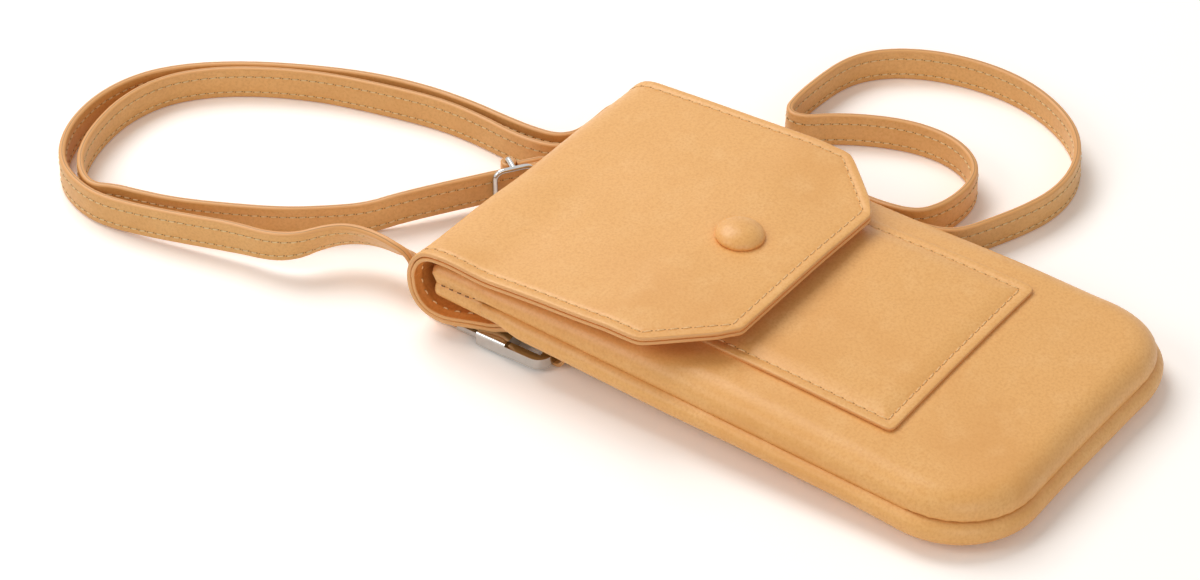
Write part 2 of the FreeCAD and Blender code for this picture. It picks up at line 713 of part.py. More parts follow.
def hanging_tab(tag: str, side: int) -> None:
    """A leather loop sewn to the pouch's back and closed round the clasp's nose."""
    skin, clear = size["tab_leather"], size["swing_gap"]
    low = clasp_z - size["clasp_bar_height"] / 2 - clear
    high = clasp_z + size["clasp_bar_height"] / 2 + clear
    near, far = nose_y - clear, nose_y + size["clasp_bar"] + clear
    seat_end = nose_y - size["tab_slope"]
    seat = seat_end - size["tab_seat"]
    top_seat = under_pouch(seat) - size["layer_gap"]
    top_end = under_pouch(seat_end) - size["layer_gap"]
    outline = [
        (seat, top_seat), (seat_end, top_end), (near - skin / 2, high + skin), (far + skin, high + skin),
        (far + skin, low - skin), (near - skin / 2, low - skin), (seat_end - 2 * skin, top_end - 2 * skin),
        (seat, top_seat - 2 * skin),
    ]
    hole = [(near, low), (far, low), (far, high), (near, high)]
    loop = sheet_body(f"{tag}Tab", [outline, hole], formula("tab_width"))
    loop.Placement.Base = Vector(side * clasp_x, 0, 0)
    node(loop, f"{tag}_hanging_tab")


def strap_loop(tag: str, side: int, layers: int) -> None:
    """The strap's narrowed end folded round the eye's bar, leaving as one layer or as two."""
    skin, clear = size["strap_skived"], size["swing_gap"]
    low, high = loop_low + skin, loop_top - skin
    near, far = eye_bar_y - clear, eye_bar_y + size["eye_wire"] + clear
    leave = loop_low + layers * size["strap_thickness"] + (layers - 1) * size["layer_gap"]
    outline = [
        (near - skin, loop_low), (loop_end_y, loop_low), (loop_end_y, leave),
        (far + 2 * skin, loop_top), (near - skin, loop_top),
    ]
    hole = [(near, low), (far, low), (far, high), (near, high)]
    loop = sheet_body(f"{tag}StrapLoop", [outline, hole], formula("strap_end_width"))
    loop.Placement.Base = Vector(side * clasp_x, 0, 0)
    node(loop, f"{tag}_strap_loop")


for tag, side, layers in (("near", -1, 1), ("far", 1, 2)):
    clasp(tag, side)
    swivel_eye(tag, side)
    hanging_tab(tag, side)
    strap_loop(tag, side, layers)

# Strap: it comes down to the table from behind the fold, then stands on its lower edge round both coils
STRAP_ROUTE = [
    (-38.0, 100.7), (-37.8, 108.4), (-40.2, 115.4), (-44.6, 120.5), (-50.4, 124.6), (-53.7, 131.5),
    (-55.1, 142.6), (-58.3, 155.0), (-61.8, 169.5), (-63.7, 182.5), (-62.0, 192.2), (-57.6, 201.6),
    (-49.8, 208.4), (-39.5, 213.0), (-26.5, 214.8), (-13.0, 211.8), (-2.0, 203.8), (8.0, 191.3),
    (17.0, 175.5), (24.6, 158.3), (28.5, 142.5), (29.7, 127.0), (29.0, 112.0), (29.3, 102.5),
    (30.6, 96.8), (34.8, 93.3), (42.0, 92.7), (50.9, 92.9), (55.6, 89.2), (56.1, 79.0),
    (55.6, 58.0), (55.9, 38.0), (55.1, 20.0), (54.8, 6.0), (57.2, -3.2), (63.5, -6.8), (70.0, -8.2),
    (77.0, -8.2), (84.0, -5.9), (89.6, 0.4), (92.3, 9.0), (91.6, 19.5), (87.6, 30.2), (82.0, 39.6),
    (76.4, 45.8), (76.9, 51.6), (84.5, 52.7), (96.0, 52.3), (106.5, 51.0), (114.5, 47.2),
    (121.3, 39.6), (126.0, 29.5), (128.4, 16.5), (127.6, 4.0), (123.6, -7.6), (116.6, -18.2),
    (107.4, -25.2), (97.0, -28.6), (86.0, -28.7), (75.5, -25.6), (64.0, -20.4), (56.4, -16.4),
    (52.9, -9.5), (52.4, 4.0), (52.8, 24.0), (52.5, 46.0), (52.9, 66.0), (53.2, 80.0),
    (53.0, 87.2), (50.1, 90.6), (44.0, 90.2), (38.0, 89.95), (32.0, 90.3), (27.6, 92.6), (25.0, 97.3),
    (23.9, 106.5),
    (25.4, 121.0), (25.2, 133.5), (22.7, 146.5), (19.4, 160.0), (15.4, 172.3), (8.5, 186.0),
    (0.0, 197.4), (-10.5, 205.4), (-24.0, 208.3), (-38.5, 206.2), (-50.0, 201.7), (-57.3, 195.3),
    (-60.6, 188.4), (-57.4, 182.6), (-55.8, 175.6), (-52.6, 164.6), (-46.5, 151.5), (-39.6, 138.4),
    (-32.0, 128.6), (-24.6, 120.6), (-17.0, 114.5), (15.5, 92.0),
]
# How far the strap is off the table at its first places, and at the two that carry the slider
NEAR_LIFTS = [7.0, 7.0, 6.9, 6.1, 5.0, 3.9, 3.0, 2.1, 1.2, 0.4]
half_width = size["strap_width"] / 2
thickness = size["strap_thickness"]
slider_lift = size["slider_wire"] + size["side_gap"] + size["table_gap"]
lifts = NEAR_LIFTS + [0.0] * (len(STRAP_ROUTE) - len(NEAR_LIFTS) - 2) + [slider_lift] * 2
route = [Vector(x, y, half_width + lifted) for (x, y), lifted in zip(STRAP_ROUTE, lifts)]
STRAP_ARC = 0.45
OVAL_ARC = 0.45
STAPLE_ARC = 0.2


def rounded_path(points: list, share: float) -> tuple:
    """Straight runs joined by tangent arcs, each taking a share of its shorter run, and the arcs' radii."""
    edges, radii = [], []
    start = points[0]
    for before, point, after in zip(points, points[1:], points[2:]):
        back, ahead = before - point, after - point
        half_turn = (math.pi - back.getAngle(ahead)) / 2
        tangent = share * min(back.Length, ahead.Length)
        radii.append(tangent / math.tan(half_turn))
        entry = point + back.normalize() * tangent
        leave = point + ahead.normalize() * tangent
        inward = (back + ahead).normalize()
        middle = point + inward * radii[-1] * (1 / math.cos(half_turn) - 1)
        edges.append(Part.LineSegment(start, entry).toShape())
        edges.append(Part.Arc(entry, middle, leave).toShape())
        start = leave
    edges.append(Part.LineSegment(start, points[-1]).toShape())
    return Part.Wire(edges), radii


def outward(ahead: Vector, turn: float) -> Vector:
    """The strap's thin direction, for a way ahead and a turn from standing on edge."""
    return FreeCAD.Rotation(ahead, turn).multVec(ahead.cross(Z_AXIS).normalize())


def section(middle: Vector, ahead: Vector, width: float, turn: float) -> Part.Wire:
    """A strap section square to its way, standing on edge at a turn of 0 and lying flat at 90."""
    thin = outward(ahead, turn) * (thickness / 2)
    tall = outward(ahead, turn).cross(ahead).normalize() * (width / 2)
    corners = [middle + tall + thin, middle + tall - thin, middle - tall - thin, middle - tall + thin]
    return Part.makePolygon(corners + corners[:1])


strap_line, strap_radii = rounded_path(route, STRAP_ARC)
start_way = (route[1] - route[0]).normalize()
pipe = Part.BRepOffsetAPI.MakePipeShell(strap_line)
pipe.setBiNormalMode(Z_AXIS)
pipe.add(section(route[0], start_way, size["strap_width"], 0.0))
pipe.build()
pipe.makeSolid()
strap_main = doc.addObject("Part::Feature", "StrapMain")
strap_main.Shape = pipe.shape()
node(strap_main, "strap")


def ways_along(places: list, first: Vector) -> list:
    """The way ahead at each place of a strap end, which meets its loop square."""
    between = [(after - before).normalize() for before, after in zip(places, places[2:])]
    return [first] + between + [-Y_AXIS]


def twisted(places: list, ways: list, turns: list, widths: list) -> Part.Shape:
    """A short stretch of strap that turns from on edge to flat between its sections."""
    parts = zip(places, ways, widths, turns)
    return Part.makeLoft([section(*part) for part in parts], True, True)


# Near end: it drops behind the fold, turning flat, and goes in under it to its loop
def tapered(shares: list) -> list:
    """Widths along a strap end, from the strap's width at a share of 0 to its folded end's at 1."""
    return [size["strap_width"] + (size["strap_end_width"] - size["strap_width"]) * share for share in shares]


meet = size["layer_gap"]
near_places = [
    route[0], Vector(-37.7, 97.8, 11.6), Vector(-37.4, 95.3, 9.4), Vector(-37.6, 91.9, 5.3),
    Vector(-39.4, 88.4, 2.9), Vector(-clasp_x, loop_end_y + meet, loop_low + thickness / 2),
]
near_turns = [0, 18, 45, 72, 84, 90]
near_widths = tapered([0, 0.05, 0.2, 0.45, 0.75, 1])
near_end = doc.addObject("Part::Feature", "StrapNearEnd")
near_end.Shape = twisted(near_places, ways_along(near_places, -start_way), near_turns, near_widths)
node(near_end, "strap_near_end")

# Far end: it leaves the slider, turns flat and goes to its loop, and a second layer comes back under it
step_down = thickness + size["layer_gap"]
far_way = (route[-1] - route[-2]).normalize()
far_places = [
    route[-1], Vector(20, 88.8, 6.2), Vector(24, 86.3, 5), Vector(28, 85, 4), Vector(34, 84.4, 3.65),
    Vector(39, 84.9, 3.6), Vector(clasp_x, loop_end_y + meet, loop_low + thickness / 2 + step_down),
]
far_ways = ways_along(far_places, far_way)
far_turns = [0, -35, -65, -83, -89, -90, -90]
far_widths = tapered([0, 0.2, 0.5, 0.75, 0.9, 1, 1])
far_end = doc.addObject("Part::Feature", "StrapFarEnd")
far_end.Shape = twisted(far_places, far_ways, far_turns, far_widths)
node(far_end, "strap_far_end")

# Slider: a wire oval in front of the strap, joined by a staple whose bar stands behind it
slider_middle = route[-2] + far_way * size["slider_along"]
slider_side = far_way.cross(Z_AXIS).normalize()
wire = size["slider_wire"] / 2
front_bar = thickness / 2 + wire + size["side_gap"]
wrap = wire + size["layer_gap"] + size["strap_skived"]
back_bar = thickness / 2 + size["side_gap"] + wrap
reach = half_width + wire + size["side_gap"]
half_length = size["slider_length"] / 2 - wire


def slider_place(along: float, up: float, out: float) -> Vector:
    """Place in the slider's own frame: along the strap, up, and out to its front."""
    return slider_middle + far_way * along + Z_AXIS * up + slider_side * out


def wire_bar(points: list, share: float) -> Part.Shape:
    """Round wire along straight runs with rounded corners."""
    path, _ = rounded_path(points, share)
    ahead = (points[1] - points[0]).normalize()
    bar = Part.BRepOffsetAPI.MakePipeShell(path)
    bar.add(Part.Wire(Part.makeCircle(wire, points[0], ahead)))
    bar.build()
    bar.makeSolid()
    return bar.shape()


oval_corners = [
    (0, reach), (half_length, reach), (half_length, -reach), (-half_length, -reach), (-half_length, reach),
    (0, reach),
]
oval = wire_bar([slider_place(along, up, front_bar) for along, up in oval_corners], OVAL_ARC)
staple = wire_bar([
    slider_place(0, reach, front_bar), slider_place(0, reach, -back_bar),
    slider_place(0, -reach, -back_bar), slider_place(0, -reach, front_bar),
], STAPLE_ARC)
slider = doc.addObject("Part::Feature", "SliderFrame")
slider.Shape = oval.fuse(staple).removeSplitter()
node(slider, "strap_slider")

# The layer that comes back from the far loop and is sewn round the slider's back bar
band_start = slider_place(wire + size["layer_gap"], 0, 0)
back_middles = [band_start] + far_places
back_ways = [far_way] + far_ways
back_turns = [0] + far_turns
back_places = [
    middle - outward(ahead, turn) * step_down
    for middle, ahead, turn in zip(back_middles, back_ways, back_turns)
]
back_widths = [size["strap_width"]] + far_widths
bar_foot = slider_place(0, -half_width, -back_bar)
sleeve = Part.makeCylinder(wrap, size["strap_width"], bar_foot)
bar_hole = Part.makeCylinder(wire + size["layer_gap"], size["strap_width"], bar_foot)
band = twisted(back_places, back_ways, back_turns, back_widths)
strap_return = doc.addObject("Part::Feature", "StrapReturn")
strap_return.Shape = band.fuse(sleeve).cut(bar_hole).removeSplitter()
node(strap_return, "strap_return")

doc.recompute()
problems = []
for obj in doc.Objects:
    if {"Invalid", "Error"} & set(obj.State):
        problems.append(f"{obj.Name} is in state {obj.State}")
for label, obj in nodes.items():
    if obj.Shape.isNull() or not obj.Shape.isValid():
        problems.append(f"{label} has no valid shape")
if problems:
    raise RuntimeError("; ".join(problems))

whole = strap_line.Length
print(f"lies at {math.degrees(math.asin(lift)):.3f} degrees")
print(f"strap on edge {whole:.1f} mm, least radius {min(strap_radii):.2f} mm, thickness {thickness} mm")
print("strap radii", [round(radius, 1) for radius in strap_radii])
expected = whole * size["strap_width"] * thickness
print(f"strap volume {nodes['strap'].Shape.Volume:.0f} against section times length {expected:.0f}")

os.makedirs("parts", exist_ok=True)
for label, obj in nodes.items():
    shape = obj.Shape
    shape.exportStep(f"parts/{label}.step")
    print(f"{label}: {len(shape.Solids)} solid, volume {shape.Volume:.1f} cubic mm")
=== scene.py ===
"""Looks of the leather phone pouch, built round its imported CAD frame.

Shapes are worked out in millimetres. The pouch is drawn flat, with its mouth towards +Y and its front
up, and then laid at the tilt at which its fold rests on the strap's ends.
"""
import logging
import math
from dataclasses import dataclass
from enum import Enum
from functools import reduce
from typing import Callable, Iterator, Optional, Sequence, Union

import bmesh
import bpy
import numpy as np
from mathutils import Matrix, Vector


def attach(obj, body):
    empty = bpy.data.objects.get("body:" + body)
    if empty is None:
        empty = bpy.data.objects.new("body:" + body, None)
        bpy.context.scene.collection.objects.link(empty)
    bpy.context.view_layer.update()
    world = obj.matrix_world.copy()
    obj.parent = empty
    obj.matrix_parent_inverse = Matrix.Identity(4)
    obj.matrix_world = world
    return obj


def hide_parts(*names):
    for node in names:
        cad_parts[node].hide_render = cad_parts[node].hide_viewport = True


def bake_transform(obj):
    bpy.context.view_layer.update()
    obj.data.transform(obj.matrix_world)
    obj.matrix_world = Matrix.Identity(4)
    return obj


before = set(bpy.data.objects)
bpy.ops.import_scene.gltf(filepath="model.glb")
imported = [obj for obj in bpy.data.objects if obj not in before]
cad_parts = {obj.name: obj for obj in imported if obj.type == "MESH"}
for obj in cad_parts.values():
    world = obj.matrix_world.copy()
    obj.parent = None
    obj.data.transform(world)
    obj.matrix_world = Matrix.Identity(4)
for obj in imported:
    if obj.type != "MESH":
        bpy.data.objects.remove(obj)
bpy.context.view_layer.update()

Array = np.ndarray
Pair = tuple[float, float]
Place = tuple[float, float, float]
Colour = tuple[float, float, float]
log = logging.getLogger("phone_pouch")

MM = 0.001
# The tilt: the pouch turns about its bottom end until the fold has risen onto the strap's ends
PIVOT_Y, PIVOT_Z = -84.2, 4.3
FOLD_Y, FOLD_RISE = 79.7, 8.6
TILT = math.asin(FOLD_RISE / (FOLD_Y - PIVOT_Y))
# Where the rolled edge ends and the fold steps out past it
STEP_Y = 66.4
# Layers of the flap, the fold and the back, and how far their cut edges round out
LEATHER, LINING, LAYER_GAP, EDGE = 1.3, 1.1, 0.08, 0.42
LINING_DEPTH = LEATHER + LAYER_GAP
UNDER = LINING_DEPTH + LINING
# Seams: distance from the edge to the stitches, their groove's width, and the lip between both
SEAM_IN, GROOVE_WIDTH = 3.0, 0.75
LIP_IN, LIP_WIDTH, LIP_RISE = 1.3, 0.9, 0.10
# Distances from a sewn edge at which a surface has its columns
BORDER = np.array([0.0, 0.3, 0.7, 1.1, 1.5, 1.9, 2.3, 2.7, 3.0, 3.3, 3.7, 4.2, 4.8, 5.6])
# Mesh clean-up, and the paint value of the line between two layers
SHARP = math.radians(48)
MERGE = 2e-7
LAYER_LINE = 2.0
UP = (0.0, 0.0, 1.0)


class Body(Enum):
    """CAD bodies that pieces ride on."""

    POUCH = "pouch"
    FOLD = "flap_fold"
    FLAP = "flap"
    NEAR_CLASP = "near_clasp"
    FAR_CLASP = "far_clasp"
    SLIDER = "slider"


class Slot(Enum):
    """Material slots of the record."""

    LEATHER = "leather"
    STRAP = "strap_leather"
    LINING = "lining"


# Arrays and meshes


def lay(points: Array) -> Array:
    """Tilt points drawn flat in the pouch's frame to their place on the table.

    Args:
        points: places in mm, last axis x, y, z.
    Returns:
        The places turned about the X axis through the roll's bottom end.
    """
    along, up = points[..., 1] - PIVOT_Y, points[..., 2] - PIVOT_Z
    c, s = math.cos(TILT), math.sin(TILT)
    return np.stack([points[..., 0], PIVOT_Y + along * c - up * s, PIVOT_Z + along * s + up * c], -1)


def unit(vectors: Array) -> Array:
    """Vectors scaled to length 1."""
    return vectors / np.maximum(np.linalg.norm(vectors, axis=-1, keepdims=True), 1e-12)


def ease(value: Array, low: Union[float, Array], high: Union[float, Array]) -> Array:
    """Smooth step from 0 at low to 1 at high."""
    share = np.clip((np.asarray(value, float) - low) / (high - low), 0, 1)
    return share * share * (3 - 2 * share)


def bell(value: Array, middle: float, width: float) -> Array:
    """A bump of height 1 about a middle value."""
    return np.exp(-(((np.asarray(value, float) - middle) / width) ** 2))


def soft_noise(x: Array, y: Union[float, Array], size: float, seed: int, waves: int = 10) -> Array:
    """Smooth unevenness of a given size: a sum of sine waves with seeded directions and phases.

    Args:
        x: first coordinates.
        y: second coordinates, or one for all.
        size: size of the unevenness, in the coordinates' unit.
        seed: seed of the draws.
        waves: how many waves are added.
    Returns:
        Values about 0, mostly within 2.
    """
    rng = np.random.default_rng(seed)
    ways = rng.normal(size=(2, waves))
    phase = rng.uniform(0, 2 * math.pi, waves)
    x, y = np.broadcast_arrays(np.asarray(x, float) / size, np.asarray(y, float) / size)
    return np.sin(x[..., None] * ways[0] + y[..., None] * ways[1] + phase).sum(-1) / math.sqrt(waves)


def seam_groove(inward: Array, depth: float) -> Array:
    """Depth near a sewn edge: a groove under the stitches, less a slight lip outside it."""
    return depth * bell(inward, SEAM_IN, GROOVE_WIDTH) - LIP_RISE * bell(inward, LIP_IN, LIP_WIDTH)


def circle(count: int) -> Array:
    """Angles round a full turn, the first not repeated."""
    return np.linspace(0, 2 * math.pi, count + 1)[:-1]


def quarter(count: int) -> Array:
    """Angles over a quarter turn, both ends kept."""
    return np.linspace(0, math.pi / 2, count)


def arc_length(path: Array) -> Array:
    """Distance of each point along a polyline."""
    return np.concatenate([[0.0], np.cumsum(np.linalg.norm(np.diff(path, axis=0), axis=1))])


def interpolate(stops: Array, arc: Array, values: Array) -> Array:
    """Rows of values at distances along a line."""
    return np.stack([np.interp(stops, arc, column) for column in values.T], -1)


def resample(path: Array, step: float) -> Array:
    """Points at even distances along a polyline, ends kept."""
    arc = arc_length(path)
    return interpolate(np.linspace(0, arc[-1], max(2, int(round(arc[-1] / step)) + 1)), arc, path)


def legs(corners: Sequence[Pair], step: float = 0.6) -> Iterator[Array]:
    """For each straight leg between corners, the two coordinates of its evenly spaced points."""
    for ends in zip(corners[:-1], corners[1:]):
        yield resample(np.array(ends), step).T


def smoothed(path: Array, spread: float, step: float) -> Array:
    """A polyline averaged along itself by a bell of the given spread, its ends held.

    Args:
        path: evenly spaced points.
        spread: the bell's spread.
        step: distance between the points.
    Returns:
        As many points as before.
    """
    reach = int(math.ceil(3 * spread / step))
    weights = bell(np.arange(-reach, reach + 1) * step, 0, spread * math.sqrt(2))
    weights /= weights.sum()
    before = 2 * path[0] - path[reach:0:-1]
    after = 2 * path[-1] - path[-2:-reach - 2:-1]
    padded = np.concatenate([before, path, after])
    return np.stack([np.convolve(column, weights, "valid") for column in padded.T], -1)


def grid_faces(index: Array, wrap: Optional[int] = None) -> Array:
    """Four-sided faces between neighbours on an index grid's last two axes; axis wrap closes on itself.

    Args:
        index: point numbers on a grid.
        wrap: the axis that closes, if any.
    Returns:
        Faces as rows of four point numbers.
    """
    if wrap is not None:
        index = np.concatenate([index, np.take(index, [0], wrap)], wrap)
    corners = [index[..., :-1, :-1], index[..., 1:, :-1], index[..., 1:, 1:], index[..., :-1, 1:]]
    return np.stack(corners, -1).reshape(-1, 4)


def grid_normals(grid: Array, ring: bool) -> Array:
    """Normals of a surface grid, first axis crossed with second; a ring's first axis closes on itself."""
    first = np.roll(grid, -1, 0) - np.roll(grid, 1, 0) if ring else np.gradient(grid, axis=0)
    return unit(np.cross(first, np.gradient(grid, axis=1)))


@dataclass
class Shell:
    """Points in mm, four-sided faces, and a paint value per point."""

    points: Array
    faces: Array
    paint: Array


def joined(shells: Sequence[Shell]) -> Shell:
    """Several shells as one, in their order.

    Args:
        shells: the shells.
    Returns:
        One shell.
    """
    starts = np.cumsum([0] + [len(shell.points) for shell in shells])
    return Shell(np.vstack([shell.points for shell in shells]),
                 np.vstack([shell.faces + start for shell, start in zip(shells, starts)]),
                 np.concatenate([shell.paint for shell in shells]))


def slab(outer: Array, thick: Union[float, Array], edge: Union[float, Array, Callable[[Array], Array]],
         ring: bool = False) -> Shell:
    """A sheet with thickness below a surface grid, and a rounded border.

    The under side is the outer surface less thickness times normal. The border's rings are
    middle + outward * edge * sin(a) + normal * thickness / 2 * cos(a), for a from 0 to half a turn.

    Args:
        outer: grid of points, whose first axis crossed with its second points outward.
        thick: thickness, one or per point.
        edge: how far the border stands out: one, per border point, or worked out from those points.
        ring: whether the first axis goes round, so that the first column is the border.
    Returns:
        A closed shell, painted 1 on its border.
    """
    index = np.arange(outer[..., 0].size).reshape(outer.shape[:2])
    faces = grid_faces(index, 0 if ring else None)
    around = [index[:-1, 0], index[-1, :-1], index[:0:-1, -1], index[0, :0:-1]]
    loop = index[:, 0] if ring else np.concatenate(around)
    normal = grid_normals(outer, ring).reshape(-1, 3)
    thick = np.broadcast_to(np.asarray(thick, float), index.shape).reshape(-1, 1)
    outer = outer.reshape(-1, 3)
    border, up, half = outer[loop], normal[loop], thick[loop] / 2
    width = np.asarray(edge(border) if callable(edge) else edge, float)
    ahead = unit(np.roll(border, -1, 0) - np.roll(border, 1, 0))
    out = unit(np.cross(ahead, up)) * np.broadcast_to(width, loop.shape)[:, None]
    turns = np.linspace(0, math.pi, 7)[1:-1, None, None]
    rings = border - up * half + out * np.sin(turns) + up * half * np.cos(turns)
    ring_index = 2 * len(outer) + np.arange(rings[..., 0].size).reshape(rings.shape[:2])
    ladder = np.vstack([loop[None], ring_index, loop[None] + len(outer)])
    points = np.vstack([outer, outer - normal * thick, rings.reshape(-1, 3)])
    paint = np.concatenate([np.zeros(2 * len(outer)), np.ones(ring_index.size)])
    return Shell(points, np.vstack([faces, faces[:, ::-1] + len(outer), grid_faces(ladder, 1)]), paint)


def disc_grid(outline: Array, spine: Pair, offsets: Array, inner: int) -> Array:
    """Rings of (x, y) from a closed outline in to a straight spine on x = 0.

    Args:
        outline: points of the outline, counter-clockwise.
        spine: the spine's two ends along y.
        offsets: distances from the outline of the first rings.
        inner: how many more rings reach the spine.
    Returns:
        A grid whose first axis goes round and whose second goes in.
    """
    target = np.stack([np.zeros(len(outline)), np.clip(outline[:, 1], *spine)], -1)
    first = offsets[None] / np.linalg.norm(target - outline, axis=1)[:, None]
    rest = np.linspace(0, 1, inner + 1)[1:]
    share = np.hstack([first, first[:, -1:] + (1 - first[:, -1:]) * rest])
    return outline[:, None] + (target - outline)[:, None] * share[..., None]


def sweep(profile: Array, paint: Array, centre: Array, side: Array, up: Array, scale: Array) -> Shell:
    """A closed profile carried along a path: centre + side * px * scale + up * py * scale.

    Args:
        profile: (m, 2) outline, counter-clockwise seen against the path.
        paint: paint value per outline point.
        centre: (n, 3) path.
        side: (n, 3) directions of the profile's first axis.
        up: (n, 3) directions of its second.
        scale: (n, 2) sizes along both.
    Returns:
        A shell whose two ends close on their middles.
    """
    ends = np.concatenate([[0.0], np.ones(len(centre)), [0.0]])
    pick = np.concatenate([[0], np.arange(len(centre)), [len(centre) - 1]])
    across, above = np.moveaxis(profile * (scale[pick] * ends[:, None])[:, None], -1, 0)[..., None]
    points = centre[pick][:, None] + side[pick][:, None] * across + up[pick][:, None] * above
    index = np.arange(points[..., 0].size).reshape(points.shape[:2])
    return Shell(points.reshape(-1, 3), grid_faces(index, 1), np.tile(paint, len(pick)))


def strip_profile(width: float, thick: float, seams: Sequence[float] = (),
                  groove: float = 0.0) -> tuple[Array, Array]:
    """Outline of a leather strip's section with rounded edges and a groove under each seam.

    Args:
        width: the strip's width.
        thick: its thickness.
        seams: places of the stitch rows across it.
        groove: their depth.
    Returns:
        The outline, width along its first axis, and its paint: 1 on the edges, 2 on the line between layers.
    """
    half, deep = width / 2, thick / 2
    flat, groove_width, worn = half - deep * 0.5, 0.5, 0.10
    face = np.concatenate([[-1.0, -0.97, -0.93], np.linspace(-0.86, 0.86, 19), [0.93, 0.97, 1.0]]) * flat
    sunk = sum((bell(face, seam, groove_width) for seam in seams), np.zeros_like(face))
    crown = deep * (1 - worn * (np.abs(face) / half) ** 6) - groove * sunk
    turn = np.linspace(0, math.pi, 11)[1:-1]
    cap_x = flat + deep * 0.5 * np.sin(turn)
    cap_y = -deep * (1 - worn) * np.cos(turn)
    x = np.concatenate([face, cap_x, face[::-1], -cap_x])
    y = np.concatenate([-crown, cap_y, crown[::-1], -cap_y])
    cap = np.where(np.arange(len(turn)) == len(turn) // 2, LAYER_LINE, 1.0)
    paint = np.concatenate([np.zeros(len(face)), cap, np.zeros(len(face)), cap])
    return np.stack([x, y], -1), paint


# One half of a stitch up to its middle: place along it, thickness, height and paint, as shares; the paint
# marks painted shade where the thread sinks into its hole
STITCH_HALF = np.array([
    (-0.5, 0.0, -0.9, 1.0), (-0.46, 1.15, -0.85, 1.0), (-0.35, 1.2, -0.75, 1.0), (-0.28, 0.95, 0.1, 0.1),
    (0.0, 1.0, 0.4, 0.0),
])


@dataclass(frozen=True)
class Stitch:
    """Size of one stitch: distance to the next, length, thread radius and lean in its row."""

    pitch: float = 3.1
    length: float = 3.04
    radius: float = 0.25
    lean: float = 0.08

    def row(self, path: Array, normal: Array) -> Shell:
        """Stitches along a path: round bars that arch over the leather and sink in at their ends.

        Args:
            path: (n, 3) line on the surface.
            normal: (n, 3) outward directions there.
        Returns:
            One shell of all stitches, painted 1 at their ends for the painted shade of their holes.
        """
        arc = arc_length(path)
        count = max(1, int(arc[-1] / self.pitch))
        stops = (np.arange(count) + 0.5) * arc[-1] / count
        lines = (path, np.gradient(path, axis=0), normal)
        centre, ahead, up = (interpolate(stops, arc, line)[:, None, None] for line in lines)
        ahead, up = unit(ahead), unit(up)
        side = np.cross(up, ahead)
        ahead, side = ahead * math.cos(self.lean) + side * math.sin(self.lean), side - ahead * self.lean
        whole = np.vstack([STITCH_HALF, STITCH_HALF[-2::-1] * [-1, 1, 1, 1]])
        # the last column is painted shade at the stitch ends, in the holes
        place, thick, lift, dark = whole.T[:, :, None]
        turn = circle(6)
        wide, high = thick * np.cos(turn) * self.radius, (lift + thick * np.sin(turn)) * self.radius
        points = centre + ahead * (place * self.length)[..., None]
        points = points + side * wide[..., None] + up * high[..., None]
        shape = points.shape[:3]
        faces = grid_faces(np.arange(points[..., 0].size).reshape(shape), 2)[:, ::-1]
        return Shell(points.reshape(-1, 3), faces, np.broadcast_to(dark, shape).reshape(-1))


OUTER_STITCH = Stitch()
INNER_STITCH = Stitch(length=1.8, radius=0.2)
MOUTH_STITCH = Stitch(pitch=2.4, length=1.1, radius=0.16)
STRAP_STITCH = Stitch(pitch=2.6, length=2.5, radius=0.22)


def put(name: str, data: bpy.types.ID) -> bpy.types.Object:
    """A new object in the scene.

    Args:
        name: its name.
        data: its mesh, curve, camera or lamp.
    Returns:
        The object.
    """
    made = bpy.data.objects.new(name, data)
    bpy.context.scene.collection.objects.link(made)
    return made


def make_piece(name: str, shell: Shell, material: bpy.types.Material,
               replaces: Sequence[str] = (), flat: bool = True) -> bpy.types.Object:
    """Put a shell into a mesh object at the origin, with its place in its points.

    Args:
        name: the piece's name.
        shell: points in mm.
        material: its finish.
        replaces: CAD nodes that it stands for.
        flat: whether the points are in the flat pouch frame and still have to be laid.
    Returns:
        The object.
    """
    points = (lay(shell.points) if flat else shell.points) * MM
    mesh = bpy.data.meshes.new(name)
    mesh.from_pydata(points.tolist(), [], shell.faces.tolist())
    mesh.attributes.new("paint", "FLOAT", "POINT").data.foreach_set("value", shell.paint.astype(np.float32))
    work = bmesh.new()
    work.from_mesh(mesh)
    bmesh.ops.remove_doubles(work, verts=work.verts, dist=MERGE)
    work.to_mesh(mesh)
    work.free()
    mesh.shade_smooth()
    mesh.set_sharp_from_angle(angle=SHARP)
    mesh.materials.append(material)
    piece = put(name, mesh)
    if replaces:
        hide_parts(*replaces)
    log.info("%s: %d faces", name, len(mesh.polygons))
    return piece


# Finishes


def srgb(red: int, green: int, blue: int) -> Colour:
    """A screen colour as the linear values that shaders take.

    Args:
        red: 0 to 255.
        green: 0 to 255.
        blue: 0 to 255.
    Returns:
        Linear values from 0 to 1.
    """
    def linear(value: int) -> float:
        """One channel."""
        share = value / 255
        return share / 12.92 if share <= 0.04045 else ((share + 0.055) / 1.055) ** 2.4

    return linear(red), linear(green), linear(blue)


def darker(colour: Colour, share: float) -> Colour:
    """A colour at a share of its brightness."""
    return tuple(channel * share for channel in colour)


